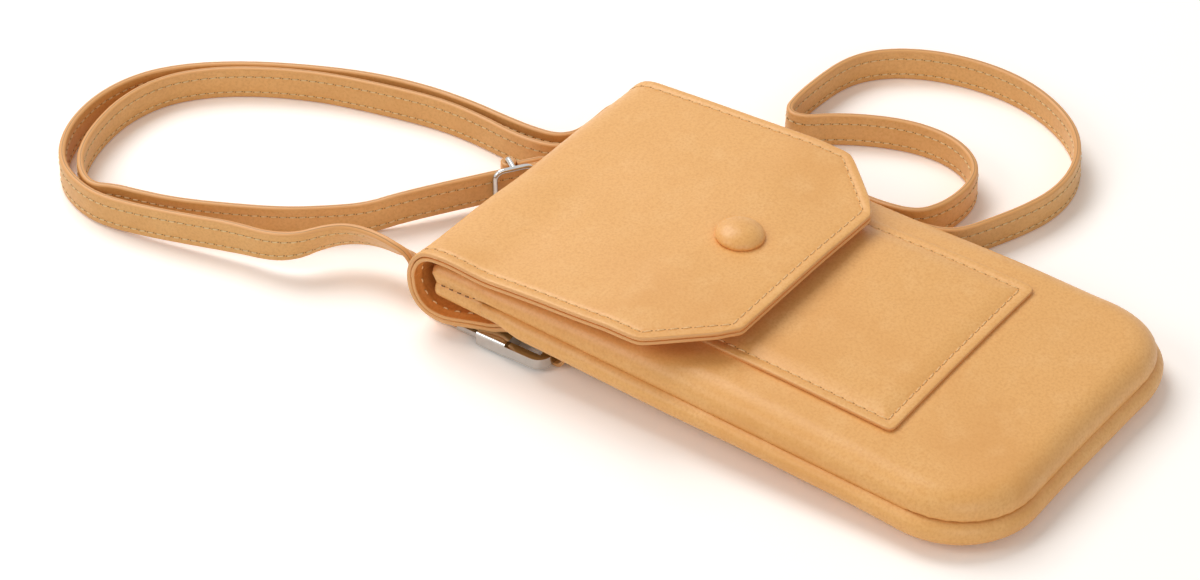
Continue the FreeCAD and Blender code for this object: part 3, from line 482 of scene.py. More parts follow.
class Value:
    """A number on a shader socket, whose operators add the Math nodes that work them out."""

    def __init__(self, tree: "Tree", socket: bpy.types.NodeSocket) -> None:
        """Wrap a socket of a tree."""
        self.tree = tree
        self.socket = socket

    def _math(self, operation: str, first: "Number", second: "Number") -> "Value":
        """One Math node on two numbers."""
        return self.tree.value("ShaderNodeMath", 0, {"operation": operation}, {0: first, 1: second})

    def __add__(self, other: "Number") -> "Value":
        """Sum."""
        return self._math("ADD", self, other)

    def __rsub__(self, other: "Number") -> "Value":
        """Difference from a number."""
        return self._math("SUBTRACT", other, self)

    def __mul__(self, other: "Number") -> "Value":
        """Product."""
        return self._math("MULTIPLY", self, other)

    def maximum(self, other: "Number") -> "Value":
        """The larger of two."""
        return self._math("MAXIMUM", self, other)

    def between(self, low: float, high: float) -> "Value":
        """Smooth step from 0 at low to 1 at high."""
        return self.tree.value("ShaderNodeMapRange", 0, {"interpolation_type": "SMOOTHSTEP"},
                               {0: self, 1: low, 2: high, 3: 0.0, 4: 1.0})


Number = Union[Value, float]


class Tree:
    """Node tree of one material or world."""

    def __init__(self, owner: Union[bpy.types.Material, bpy.types.World]) -> None:
        """Start an empty tree.

        Args:
            owner: the material or world that it belongs to.
        """
        owner.use_nodes = True
        self.tree = owner.node_tree
        self.tree.nodes.clear()

    def node(self, kind: str, settings: Optional[dict] = None,
             inputs: Optional[dict] = None) -> bpy.types.Node:
        """Add a node, set its settings, then fill or link its sockets.

        Args:
            kind: the node's type.
            settings: its properties by name.
            inputs: what its sockets take, by name or number.
        Returns:
            The node.
        """
        made = self.tree.nodes.new(kind)
        for setting, value in (settings or {}).items():
            setattr(made, setting, value)
        for key, value in (inputs or {}).items():
            if isinstance(value, Value):
                value = value.socket
            if isinstance(value, bpy.types.NodeSocket):
                self.tree.links.new(value, made.inputs[key])
            else:
                made.inputs[key].default_value = value
        return made

    def value(self, kind: str, output: Union[str, int], settings: Optional[dict] = None,
              inputs: Optional[dict] = None) -> Value:
        """One output of a new node as a number."""
        return Value(self, self.node(kind, settings, inputs).outputs[output])

    def places(self) -> bpy.types.NodeSocket:
        """Object coordinates, in metres."""
        return self.node("ShaderNodeTexCoord").outputs["Object"]

    def noise(self, where: bpy.types.NodeSocket, scale: float, detail: float, rough: float = 0.5) -> Value:
        """Cloudy noise about 0.5."""
        return self.value("ShaderNodeTexNoise", "Fac", None,
                          {"Vector": where, "Scale": scale, "Detail": detail, "Roughness": rough})

    def cells(self, where: bpy.types.NodeSocket, scale: float) -> Value:
        """Distance in a pattern of rounded cells."""
        return self.value("ShaderNodeTexVoronoi", "Distance", {"feature": "SMOOTH_F1"},
                          {"Vector": where, "Scale": scale})

    def paint(self) -> Value:
        """The paint value of the piece's points."""
        return self.value("ShaderNodeAttribute", "Fac", {"attribute_name": "paint"})

    def rays(self, *kinds: str) -> Value:
        """1 on rays of the given kinds, 0 on others."""
        path = self.node("ShaderNodeLightPath")
        return reduce(Value.maximum, [Value(self, path.outputs[f"Is {kind} Ray"]) for kind in kinds])

    def mix(self, share: Number, first: Union[Colour, bpy.types.NodeSocket],
            second: Union[Colour, bpy.types.NodeSocket]) -> bpy.types.NodeSocket:
        """Two colours mixed by a share.

        Args:
            share: share of the second.
            first: a colour or socket.
            second: a colour or socket.
        Returns:
            The mixed colour's socket.
        """
        ends = [(*end, 1.0) if isinstance(end, tuple) else end for end in (first, second)]
        made = self.node("ShaderNodeMix", {"data_type": "RGBA"}, {0: share, 6: ends[0], 7: ends[1]})
        return made.outputs[2]

    def bump(self, height: Value, strength: float, distance: float) -> bpy.types.NodeSocket:
        """A normal bent by a height."""
        inputs = {"Strength": strength, "Distance": distance, "Height": height}
        return self.node("ShaderNodeBump", None, inputs).outputs["Normal"]

    def surface(self, kind: str, inputs: dict) -> None:
        """Finish a material with one shader."""
        shader = self.node(kind, None, inputs)
        self.node("ShaderNodeOutputMaterial", None, {"Surface": shader.outputs[0]})


@dataclass(frozen=True)
class LeatherFinish:
    """Dyed smooth leather: faint clouds of colour, fine grain, and cut edges of their own colour."""

    name: str
    tint: Colour
    deep: Colour
    pale: Colour
    edge: Colour
    rough: float = 0.40
    grain: float = 0.26
    pebble: float = 1500.0

    def material(self) -> bpy.types.Material:
        """Build the material.

        Colour is the tint with a broad cloud towards deep, patches towards pale and a fine mottle. Edges
        take their own colour by the paint value, and the line between two layers a dark one.
        Height is rounded cells with finer noise over them.

        Returns:
            The material.
        """
        made = bpy.data.materials.new(self.name)
        tree = Tree(made)
        where = tree.places()
        cloud = tree.noise(where, scale=26.0, detail=2.0)
        patch = tree.noise(where, scale=120.0, detail=3.0, rough=0.55)
        speck = tree.noise(where, scale=1300.0, detail=3.0, rough=0.6)
        cell = tree.cells(where, self.pebble)
        paint = tree.paint()
        colour = tree.mix((1.0 - cloud).between(0.45, 0.75) * 0.55, self.tint, self.deep)
        colour = tree.mix(patch.between(0.45, 0.75) * 0.5, colour, self.pale)
        colour = tree.mix(speck.between(0.36, 0.76) * 0.7, colour, self.deep)
        colour = tree.mix(paint.between(0.0, 1.0), colour, self.edge)
        colour = tree.mix(paint.between(1.2, LAYER_LINE) * 0.75, colour, darker(self.deep, 0.45))
        height = (1.0 - cell) * 0.5 + speck * 0.3 + patch * 0.45
        rough = patch * 0.12 + speck * 0.06 + (self.rough - 0.09)
        normal = tree.bump(height, strength=self.grain, distance=0.00022)
        tree.surface("ShaderNodeBsdfPrincipled", {
            "Base Color": colour, "Roughness": rough, "Normal": normal, "Specular IOR Level": 0.5})
        return made


@dataclass(frozen=True)
class ThreadFinish:
    """Sewing thread with a twist, with painted shade at its ends, where it sinks into its holes."""

    name: str
    tint: Colour
    # painted shade of the holes that the thread's ends sink into
    hole_shade: Colour

    def material(self) -> bpy.types.Material:
        """Build the material: colour from tint to the holes' painted shade by paint, with a fine twisted
        height.

        Returns:
            The material.
        """
        made = bpy.data.materials.new(self.name)
        tree = Tree(made)
        twist = tree.noise(tree.places(), scale=2600.0, detail=1.0)
        # faint random tone along the twist, drawn a little towards the painted hole shade
        shade = tree.mix(twist.between(0.3, 0.7) * 0.15, self.tint, self.hole_shade)
        # painted shade: the thread's ends take the dark colour of their holes
        colour = tree.mix(tree.paint(), shade, self.hole_shade)
        normal = tree.bump(twist, strength=0.4, distance=0.0002)
        tree.surface("ShaderNodeBsdfPrincipled", {
            "Base Color": colour, "Roughness": twist * 0.2 + 0.5, "Normal": normal, "Sheen Weight": 0.1})
        return made


@dataclass(frozen=True)
class MetalFinish:
    """Polished nickel plate with faint handling marks."""

    name: str
    tint: Colour
    rough: float = 0.10

    def material(self) -> bpy.types.Material:
        """Build the material: metal whose roughness wanders a little.

        Returns:
            The material.
        """
        made = bpy.data.materials.new(self.name)
        tree = Tree(made)
        where = tree.places()
        haze = tree.noise(where, scale=420.0, detail=3.0, rough=0.6)
        mark = tree.noise(where, scale=2200.0, detail=2.0)
        colour = tree.mix(haze.between(0.35, 0.75) * 0.4, self.tint, darker(self.tint, 0.82))
        tree.surface("ShaderNodeBsdfPrincipled", {
            "Base Color": colour, "Metallic": 1.0, "Roughness": haze * 0.10 + (self.rough - 0.05),
            "Normal": tree.bump(mark, strength=0.03, distance=0.0001)})
        return made


class Finishes:
    """Every finish of the pouch, made once."""

    def __init__(self) -> None:
        """Build the materials."""
        edge = srgb(228, 168, 104)
        self.leather = LeatherFinish(
            "tan_leather", srgb(240, 180, 106), srgb(225, 158, 82), srgb(244, 190, 122), edge).material()
        self.strap = LeatherFinish(
            "strap_leather", srgb(230, 173, 102), srgb(212, 151, 80), srgb(236, 184, 116), srgb(224, 162, 96),
            rough=0.42, grain=0.12).material()
        # The lining is a darker, more saturated copy of the tan leather: painted shade and warm bounce light
        # for the inner faces.
        self.lining = LeatherFinish(
            "lining_leather_painted_shade", srgb(228, 144, 66), srgb(208, 122, 48), srgb(234, 158, 84), edge,
            rough=0.55, grain=0.3, pebble=900.0).material()
        # Each thread's second colour is painted shade, at the ends that sink into the holes.
        self.thread = ThreadFinish("tan_thread", srgb(244, 200, 138), srgb(172, 116, 54)).material()
        self.strap_thread = ThreadFinish("pale_thread", srgb(238, 208, 152), srgb(150, 104, 48)).material()
        # the mouth seam's thread is darkened to paint the shade of the notch that it lies in
        self.notch_shaded_thread = ThreadFinish("painted_shade_thread", srgb(128, 82, 36), srgb(70, 42, 16)).material()
        self.nickel = MetalFinish("polished_nickel", srgb(200, 199, 196)).material()


# How the pouch lies, and outlines of its body


@dataclass(frozen=True)
class Lie:
    """How the filled pouch lies: its fold and flap askew, its bottom end drawn out to the far corner.

    A pair named zone, height or across gives the places along y, z or x between which a share grows.
    """

    fold_half: float = 50.0
    fold_shift: float = 1.3
    fold_zone: Pair = (55.0, 82.0)
    tip_shift: float = 0.8
    tip_zone: Pair = (5.0, 45.0)
    tip_height: Pair = (10.0, 16.0)
    near_power: float = 1.5
    rise: float = 1.9
    rise_zone: Pair = (62.0, 78.0)
    rise_height: Pair = (3.0, 15.5)
    hang: float = 1.3
    hang_zone: Pair = (52.0, 66.0)
    hang_height: Pair = (-1.0, 8.0)
    sag: float = 1.2
    sag_y: float = 63.0
    sag_width: float = 8.0
    body_half: float = 48.0
    drawn: tuple[float, float, float] = (0.3, 1.4, 0.9)
    drawn_zone: Pair = (-84.0, -15.0)
    push: float = 1.8
    push_across: Pair = (24.0, 48.0)
    push_zone: Pair = (-84.0, -58.0)

    def settle(self, points: Array) -> Array:
        """Shift places of the fold and flap along y and z.

        The shift along the pouch grows across the sheet: at the fold from its near end to its far end, at
        the tip from its middle. Towards its near end the fold also stands taller, rising above its middle
        height and hanging below it.

        Args:
            points: places in the flat pouch frame.
        Returns:
            The shifted places.
        """
        across, along, up = points[..., 0] / self.fold_half, points[..., 1], points[..., 2]
        at_fold = self.fold_shift * (1 + across) * ease(along, *self.fold_zone)
        at_tip = self.tip_shift * across * (1 - ease(along, *self.tip_zone)) * ease(up, *self.tip_height)
        near = np.clip((1 - across) / 2, 0, 1) ** self.near_power
        raised = self.rise * ease(up, *self.rise_height) * ease(along, *self.rise_zone)
        hanging = self.hang + self.sag * bell(along, self.sag_y, self.sag_width)
        hanging = hanging * (1 - ease(up, *self.hang_height)) * ease(along, *self.hang_zone)
        return np.stack([points[..., 0], along - at_fold - at_tip, up + near * (raised - hanging)], -1)

    def skewed(self, points: Array) -> Array:
        """Draw the bottom end out along y, more towards the far side, and push out the far corner.

        Args:
            points: places (x, y) or (x, y, z) in the flat pouch frame.
        Returns:
            The shifted places.
        """
        x, y = points[..., :1], points[..., 1:2]
        share = x / self.body_half
        even, sloped, curved = self.drawn
        drawn = (even + sloped * share + curved * share**2) * (1 - ease(y, *self.drawn_zone))
        push = self.push * ease(x, *self.push_across) * (1 - ease(y, *self.push_zone))
        return np.concatenate([x + push, y - drawn - push, points[..., 2:]], -1)


LIE = Lie()


def rounded_outline(half: float, low: float, high: float, corner: float, step: float,
                    top_corner: float = 0.0) -> Array:
    """Closed outline with rounded corners, counter-clockwise, evenly spaced.

    Args:
        half: half width.
        low: lowest y.
        high: highest y.
        corner: radius of the low corners.
        step: spacing of its points.
        top_corner: radius of the high corners.
    Returns:
        Points (x, y), the first not repeated.
    """
    def bend(x: float, y: float, radius: float, start: float) -> Array:
        """A quarter turn about (x, y) from a start angle in degrees."""
        turn = np.radians(np.linspace(start, start + 90, 25))
        return np.stack([x + radius * np.cos(turn), y + radius * np.sin(turn)], -1)

    parts = [
        bend(half - corner, low + corner, corner, -90),
        bend(half - top_corner, high - top_corner, top_corner, 0),
        bend(top_corner - half, high - top_corner, top_corner, 90),
        bend(corner - half, low + corner, corner, 180),
    ]
    return resample(np.vstack(parts + [parts[0][:1]]), step)[:-1]


def body_inward(x: Array, y: Array, half: float, low: float, corner: float) -> Array:
    """Distance in from the sides and rounded low end of the body, open at the mouth.

    Args:
        x: places across the pouch.
        y: places along it.
        half: the body's half width.
        low: its lowest y.
        corner: radius of its low corners.
    Returns:
        Distances, negative outside.
    """
    across = np.abs(x) - (half - corner)
    below = (low + corner) - y
    outside = np.hypot(np.maximum(across, 0), np.maximum(below, 0))
    inside = np.minimum(np.maximum(across, below), 0)
    return corner - (outside + inside)


def border_columns(half: Array, inner: int) -> Array:
    """Places across a sheet, from -x to +x: the border's distances from both edges and even ones between.

    Args:
        half: half width of each row.
        inner: how many columns lie between the two borders.
    Returns:
        One row of places per half width.
    """
    half = half[:, None]
    share = np.linspace(-1, 1, inner + 2)[None, 1:-1]
    return np.hstack([BORDER - half, share * (half - BORDER[-1]), half - BORDER[::-1]])


# The back, the fold and the flap, which are one bent sheet


@dataclass(frozen=True)
class FoldLine:
    """Side view of the back, the fold and the flap's outer face as one line by its length."""

    low_y: float = -82.7
    leg_y: float = 58.0
    fold_z: float = 6.7
    radius: float = 9.2
    bend_y: float = 26.0
    height: float = 21.25
    tip_y: float = -2.6
    step: float = 0.2
    spread: float = 1.4

    def tangent(self, y: float, z: float, side: int) -> float:
        """Angle on the fold's circle where the line from a place outside meets it."""
        across, up = y - FOLD_Y, z - self.fold_z
        return math.atan2(up, across) - side * math.acos(self.radius / math.hypot(across, up))

    def on_fold(self, turn: Array) -> Array:
        """Places (y, z) on the fold's circle."""
        return np.stack([FOLD_Y + self.radius * np.cos(turn), self.fold_z + self.radius * np.sin(turn)], -1)

    def bend(self, *degrees: float) -> list[Place]:
        """Places on the laid fold's middle plane at angles round it, in metres."""
        flat = np.insert(self.on_fold(np.radians(degrees)), 0, 0.0, axis=1)
        return [tuple(place) for place in (lay(flat) * MM).tolist()]

    def line(self) -> Array:
        """Points (y, z) of the outer face from the back's low end round the fold to the flap's tip.

        Returns:
            Evenly spaced points, smoothed at the bends.
        """
        low, high = self.tangent(self.leg_y, 0.0, -1), self.tangent(self.bend_y, self.height, 1)
        back = [(self.low_y, 0.0), (self.leg_y, 0.0)]
        flap = [(self.bend_y, self.height), (self.tip_y, self.height)]
        corners = np.vstack([back, self.on_fold(np.linspace(low, high, 200)), flap])
        return smoothed(resample(corners, self.step), self.spread, self.step)


class FoldSheet:
    """Places on the bent sheet by distance along it, distance across it and depth below its outer face."""

    def __init__(self, shape: FoldLine) -> None:
        """Work out the line once, and its lengths to the roll's end, the back of the fold and the tip.

        Args:
            shape: the sheet's side view.
        """
        self.shape = shape
        self.path = shape.line()
        self.arc = arc_length(self.path)
        ahead = unit(np.gradient(self.path, axis=0))
        self.out = np.stack([ahead[:, 1], -ahead[:, 0]], -1)
        rearmost = int(np.argmax(self.path[:, 0]))
        self.root_z = self.path[rearmost, 1]
        self.step = float(np.interp(STEP_Y, self.path[:rearmost, 0], self.arc[:rearmost]))
        self.rear = float(self.arc[rearmost])
        self.end = float(self.arc[-1])

    def normal(self, along: Array) -> Array:
        """Outward directions at lengths along the line."""
        pair = interpolate(along, self.arc, self.out)
        return unit(np.concatenate([np.zeros_like(pair[..., :1]), pair], -1))

    def place(self, across: Array, along: Array, depth: Array) -> Array:
        """Places in the flat pouch frame: line at that length, less depth along its normal.

        Args:
            across: places across the sheet.
            along: lengths along it.
            depth: depths below the outer face.
        Returns:
            Places (x, y, z).
        """
        across, along, depth = np.broadcast_arrays(across, along, np.asarray(depth, float))
        line = np.concatenate([across[..., None], interpolate(along, self.arc, self.path)], -1)
        return line - self.normal(along) * depth[..., None]

    def layer(self, grid: Array, thick: float) -> Shell:
        """A slab below a grid on the sheet, rounded at its free edges and square where two sheets meet.

        Args:
            grid: places on the layer's outer face.
            thick: its thickness.
        Returns:
            The layer's shell.
        """
        def rounding(points: Array) -> Array:
            """The border's reach at its points, none where two sheets meet."""
            at_root = (np.abs(points[:, 2] - self.root_z) < 0.05) & (points[:, 1] > FOLD_Y)
            return np.where(at_root, 0.0, EDGE)

        return slab(grid, thick, rounding)

    def stitches(self, path: Array, along: Array, outward: int) -> Shell:
        """A row of stitches on the outer face, or on the lining where outward is -1."""
        stitch = OUTER_STITCH if outward > 0 else INNER_STITCH
        return stitch.row(path, self.normal(along) * outward)


@dataclass
class Flap:
    """The flap from the back of the fold to its cut tip, its lining, seam and covered button.

    A pair named zone gives lengths between which a share grows, from the back of the fold or from the tip.
    """

    sheet: FoldSheet
    half_width: float = 50.0
    cut_across: float = 18.1
    cut_along: float = 18.4
    corner_soft: float = 0.006
    crown: float = 0.2
    roll: float = 0.6
    crown_zone: Pair = (12.0, 50.0)
    tip_lift: float = 0.9
    lift_zone: Pair = (-45.0, -5.0)
    far_held: float = 0.9
    held_share: float = 0.6
    groove: float = 0.20
    tip_round: float = 1.1
    round_across: float = 3.0
    round_along: float = 5.0
    seam_root: float = 0.6
    row_step: float = 0.75
    lining_inset: float = -0.15
    button_x: float = 0.5
    button_y: float = 18.9
    button_radius: float = 6.6
    button_rise: float = 3.9
    button_waist: float = 0.9
    button_tuck: float = 1.5
    button_sunk: float = 0.2

    def __post_init__(self) -> None:
        """Work out where the corners' cuts start and how long they are."""
        self.cut_start = self.sheet.end - self.cut_along
        self.slant = math.hypot(self.cut_across, self.cut_along)

    def half_at(self, along: Array) -> Array:
        """Half width of the sheet, drawn in over the cut corners.

        Args:
            along: lengths along the sheet.
        Returns:
            Half widths.
        """
        share = (along - self.cut_start) / self.cut_along
        soft = 0.5 * (share + np.sqrt(share * share + self.corner_soft))
        return self.half_width - self.cut_across * np.clip(soft, 0, 1)

    def inward(self, across: Array, along: Array) -> Array:
        """Distance in from the nearest edge: side, cut corner or tip.

        Args:
            across: places across the sheet.
            along: lengths along it.
        Returns:
            Distances, negative outside.
        """
        side = self.half_width - np.abs(across)
        cut = (side * self.cut_along + (self.cut_start - along) * self.cut_across) / self.slant
        return np.minimum(np.minimum(side, cut), self.sheet.end - along)

    def sink(self, across: Array, along: Array) -> Array:
        """Depth of the outer face below the plain sheet: crown, lifted tip, seam groove and unevenness.

        Args:
            across: places across the sheet.
            along: lengths along it.
        Returns:
            Depths.
        """
        inward = self.inward(across, along)
        share = across / self.half_width
        level = ease(along - self.sheet.rear, *self.crown_zone)
        crown = (self.crown * share**2 + self.roll * (share - 1)) * level
        lifted = self.tip_lift * ease(along - self.sheet.end, *self.lift_zone)
        lifted = lifted * (1 - self.far_held * ease(share, 0, self.held_share))
        uneven = 0.16 * soft_noise(across, along, size=17, seed=3)
        uneven = uneven + 0.04 * soft_noise(across, along, size=5, seed=4)
        return crown - lifted + seam_groove(inward, self.groove) + uneven * ease(inward, 0.5, 9)

    def place(self, across: Array, along: Array, depth: float) -> Array:
        """Places on the flap at a depth below its outer face."""
        return LIE.settle(self.sheet.place(across, along, depth + self.sink(across, along)))

    def layer(self, depth: float, thick: float, inset: float) -> Shell:
        """One layer of the flap, its tip's corners rounded off.

        Args:
            depth: depth of its outer face.
            thick: its thickness.
            inset: how far its edge lies inside the leather's.
        Returns:
            The layer's shell.
        """
        rows = int((self.sheet.end - self.sheet.rear) / self.row_step)
        along = np.linspace(self.sheet.rear, self.sheet.end - EDGE - inset, rows)
        half = self.half_at(along) - EDGE - inset
        across = border_columns(half, inner=64)
        rounded = self.tip_round * ease(np.abs(across) - half[:, None], -self.round_across, 0) ** 2
        rounded = rounded * ease(along - self.sheet.end, -self.round_along, 0)[:, None]
        return self.sheet.layer(self.place(across, along[:, None] - rounded, depth), thick)

    def seam_row(self, depth: float, outward: int) -> Shell:
        """Stitches round the three free edges, on the outer face or the lining.

        Args:
            depth: depth of the row below the outer face.
            outward: 1 on the outer face, -1 on the lining.
        Returns:
            The stitches.
        """
        turn = self.cut_start - (self.slant - self.cut_along) * SEAM_IN / self.cut_across
        drawn_in = SEAM_IN * self.slant + (self.cut_along - SEAM_IN) * self.cut_across
        corner = self.half_width - drawn_in / self.cut_along
        side, tip = self.half_width - SEAM_IN, self.sheet.end - SEAM_IN
        root = self.sheet.rear + self.seam_root
        corners = [(-side, root), (-side, turn), (-corner, tip), (corner, tip), (side, turn), (side, root)]
        return joined([self.sheet.stitches(self.place(across, along, depth), along, outward)
                       for across, along in legs(corners)])

    def button(self) -> Shell:
        """Leather-covered dome: a flattened cap that turns under at its rim.

        Radius and height follow a rounded profile by one angle, r = R sin(a) with a squared-off cosine
        height, and carry a faint pucker round the rim.

        Returns:
            The dome's shell, open at its foot.
        """
        turn = circle(72)[:, None]
        lean = np.concatenate([np.linspace(0, 0.5, 22), np.linspace(0.5, 0.80, 7)[1:]]) * math.pi
        cap = (self.button_rise - self.button_waist) * np.cos(np.minimum(lean, math.pi / 2)) ** 1.1
        height = self.button_waist + np.where(lean < math.pi / 2, cap, self.button_tuck * np.cos(lean))
        pucker = 0.006 * np.sin(turn * 11 + 0.7) * bell(lean, math.pi / 2, 0.5)
        wide = self.button_radius * np.sin(lean) ** 0.94 * (1 + pucker)
        along = self.sheet.end - (self.button_y - self.sheet.shape.tip_y)
        foot = float(self.place(np.array(0.0), np.array(along), 0.0)[2]) - self.button_sunk
        x, y = wide * np.cos(turn) + self.button_x, wide * np.sin(turn) + self.button_y
        points = np.dstack([x, y, np.broadcast_to(foot + height, x.shape)])
        faces = grid_faces(np.arange(x.size).reshape(x.shape), 0)[:, ::-1]
        return Shell(points.reshape(-1, 3), faces, np.zeros(x.size))

    def build(self, finish: Finishes) -> None:
        """Make the flap's pieces; the covered button rides on the flap.

        Args:
            finish: the materials.
        """
        start, end = self.sheet.shape.bend(12, 78)
        stitches = joined([self.seam_row(0.0, 1), self.seam_row(UNDER, -1)])
        outer = self.layer(0.0, LEATHER, 0.0)
        inner = self.layer(LINING_DEPTH, LINING, self.lining_inset)
        bending = [
            make_piece("flap_outer", outer, finish.leather, ["flap_leather"]),
            make_piece("flap_inner", inner, finish.lining, ["flap_lining"]),
            make_piece("flap_seam", stitches, finish.thread),
        ]
        for piece in bending:
            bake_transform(piece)
        cover = make_piece("covered_button", self.button(), finish.leather, ["button_cover"])
        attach(cover, Body.FLAP.value)


@dataclass
class Back:
    """The back's leather, which carries on into the lower half of the fold, with its linings.

    A pair named zone gives lengths past the rolled edge's end between which a share grows.
    """

    sheet: FoldSheet
    half_width: float = 46.7
    corner: float = 20.8
    inside_half: float = 43.6
    inside_corner: float = 17.8
    inside_short: float = 6.2
    inside_fall: float = 0.5
    fold_half_width: float = 50.0
    widen_zone: Pair = (-1.0, 11.0)
    neck: float = 2.0
    neck_at: float = -6.5
    neck_length: float = 5.0
    fold_zone: Pair = (-14.0, -6.0)
    curl: float = 3.2
    wall: float = 3.3
    thin_wall: float = 5.3
    wall_zone: Pair = (-18.0, -3.0)
    close_rows: Pair = (-16.0, 2.0)
    seam_start: float = 3.0
    groove: float = 0.2
    lining_low: float = 1.45
    lining_high: float = 3.7
    lining_reach: float = 5.6
    lining_inset: float = 0.12

    def half_at(self, along: Array) -> Array:
        """Half width: rounded at the low end, drawn in at the neck, stepping out past the rolled edge.

        Args:
            along: lengths along the sheet.
        Returns:
            Half widths.
        """
        past = along - self.sheet.step
        below = self.corner - np.clip(along, 0, self.corner)
        rounded = self.half_width - self.corner + np.sqrt(np.maximum(self.corner**2 - below**2, 0))
        widened = (self.fold_half_width - self.half_width) * ease(past, *self.widen_zone)
        return rounded + widened - self.neck * bell(past, self.neck_at, self.neck_length)

    def sink(self, across: Array, along: Array) -> Array:
        """Depth of the outer face: a quarter-round curl up to the rolled edge, and the fold's seam groove.

        Args:
            across: places across the sheet.
            along: lengths along it.
        Returns:
            Depths.
        """
        past = along - self.sheet.step
        on_body = 1 - ease(past, *self.fold_zone)
        inward = body_inward(across, along, self.half_width - EDGE, 0.0, self.corner)
        share = np.clip(1 - inward / self.curl, 0, 1)
        wall = self.wall + (self.thin_wall - self.wall) * ease(past, *self.wall_zone)
        pulled = wall * (1 - np.sqrt(1 - share * share)) * on_body
        uneven = 0.12 * soft_noise(across, along, size=16, seed=11) * ease(inward, 2, 12) * on_body
        from_edge = self.half_at(along) - np.abs(across)
        return pulled + uneven + self.groove * bell(from_edge, SEAM_IN, GROOVE_WIDTH) * (1 - on_body)

    def place(self, across: Array, along: Array, depth: float) -> Array:
        """Places on the back and the lower fold at a depth below the outer face."""
        return LIE.settle(LIE.skewed(self.sheet.place(across, along, depth + self.sink(across, along))))

    def back_rows(self) -> Array:
        """Lengths along the sheet from its low end to the back of the fold, closer together at the neck.

        Returns:
            Lengths, rising.
        """
        low, high = (self.sheet.step + past for past in self.close_rows)
        stops = [(self.corner, low, 58), (low, high, 44), (high, self.sheet.rear, 46)]
        rounded = self.corner * (1 - np.cos(quarter(24)))
        return np.concatenate([rounded] + [np.linspace(*stop)[1:] for stop in stops])

    def layer(self, depth: float, thick: float, along: Array, inset: float) -> Shell:
        """One layer of the back and lower fold on rows at lengths along the sheet."""
        across = border_columns(self.half_at(along) - EDGE - inset, inner=60)
        return self.sheet.layer(self.place(across, along[:, None], depth), thick)

    def seam_row(self, depth: float, outward: int) -> Shell:
        """Stitches along both edges of the fold's lower half.

        Args:
            depth: depth of the row below the outer face.
            outward: 1 on the outer face, -1 on the lining.
        Returns:
            The stitches.
        """
        along = np.arange(self.sheet.step + self.seam_start, self.sheet.rear - 0.6, 0.6)
        from_middle = self.half_at(along) - SEAM_IN
        return joined([self.sheet.stitches(self.place(side * from_middle, along, depth), along, outward)
                       for side in (-1, 1)])

    def inside(self) -> Shell:
        """The back's padding under its lining, as one soft layer inside the rolled edge.

        Returns:
            The layer's shell.
        """
        low = self.sheet.shape.low_y + self.half_width - self.inside_half
        high = STEP_Y - self.inside_short
        outline = rounded_outline(self.inside_half, low, high, self.inside_corner, step=1.0)
        grid = disc_grid(outline, (low + 40, high - 40), np.array([0.0, 0.5, 1.0, 1.6, 2.4]), inner=16)
        x, y = grid[..., 0], grid[..., 1]
        inward = body_inward(x, y, self.inside_half, low, self.inside_corner)
        height = self.lining_high - self.inside_fall * (1 - ease(inward, 0, 3))
        height = height + 0.05 * soft_noise(x, y, size=15, seed=21)
        thick = self.lining_high - self.lining_low - self.inside_fall
        return slab(np.dstack([grid, height]), thick, edge=0.3, ring=True)

    def build(self, finish: Finishes) -> None:
        """Make the back's pieces; the padding under the lining rides on the pouch.

        Args:
            finish: the materials.
        """
        start, end = self.sheet.shape.bend(-78, -12)
        lining_rows = np.linspace(self.sheet.step - self.lining_reach, self.sheet.rear, 64)
        stitches = joined([self.seam_row(0.0, 1), self.seam_row(UNDER, -1)])
        outer = self.layer(0.0, LEATHER, self.back_rows(), 0.0)
        inner = self.layer(LINING_DEPTH, LINING, lining_rows, self.lining_inset)
        bending = [
            make_piece("back_outer", outer, finish.leather, ["back_panel", "fold_leather"]),
            make_piece("fold_inner", inner, finish.lining, ["fold_root_lining", "fold_lining"]),
            make_piece("fold_seam", stitches, finish.thread),
        ]
        for piece in bending:
            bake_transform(piece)
        inside = make_piece("back_inside", self.inside(), finish.lining,
                            ["back_padding", "back_lining"])
        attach(inside, Body.POUCH.value)


# The front and the rolled edge


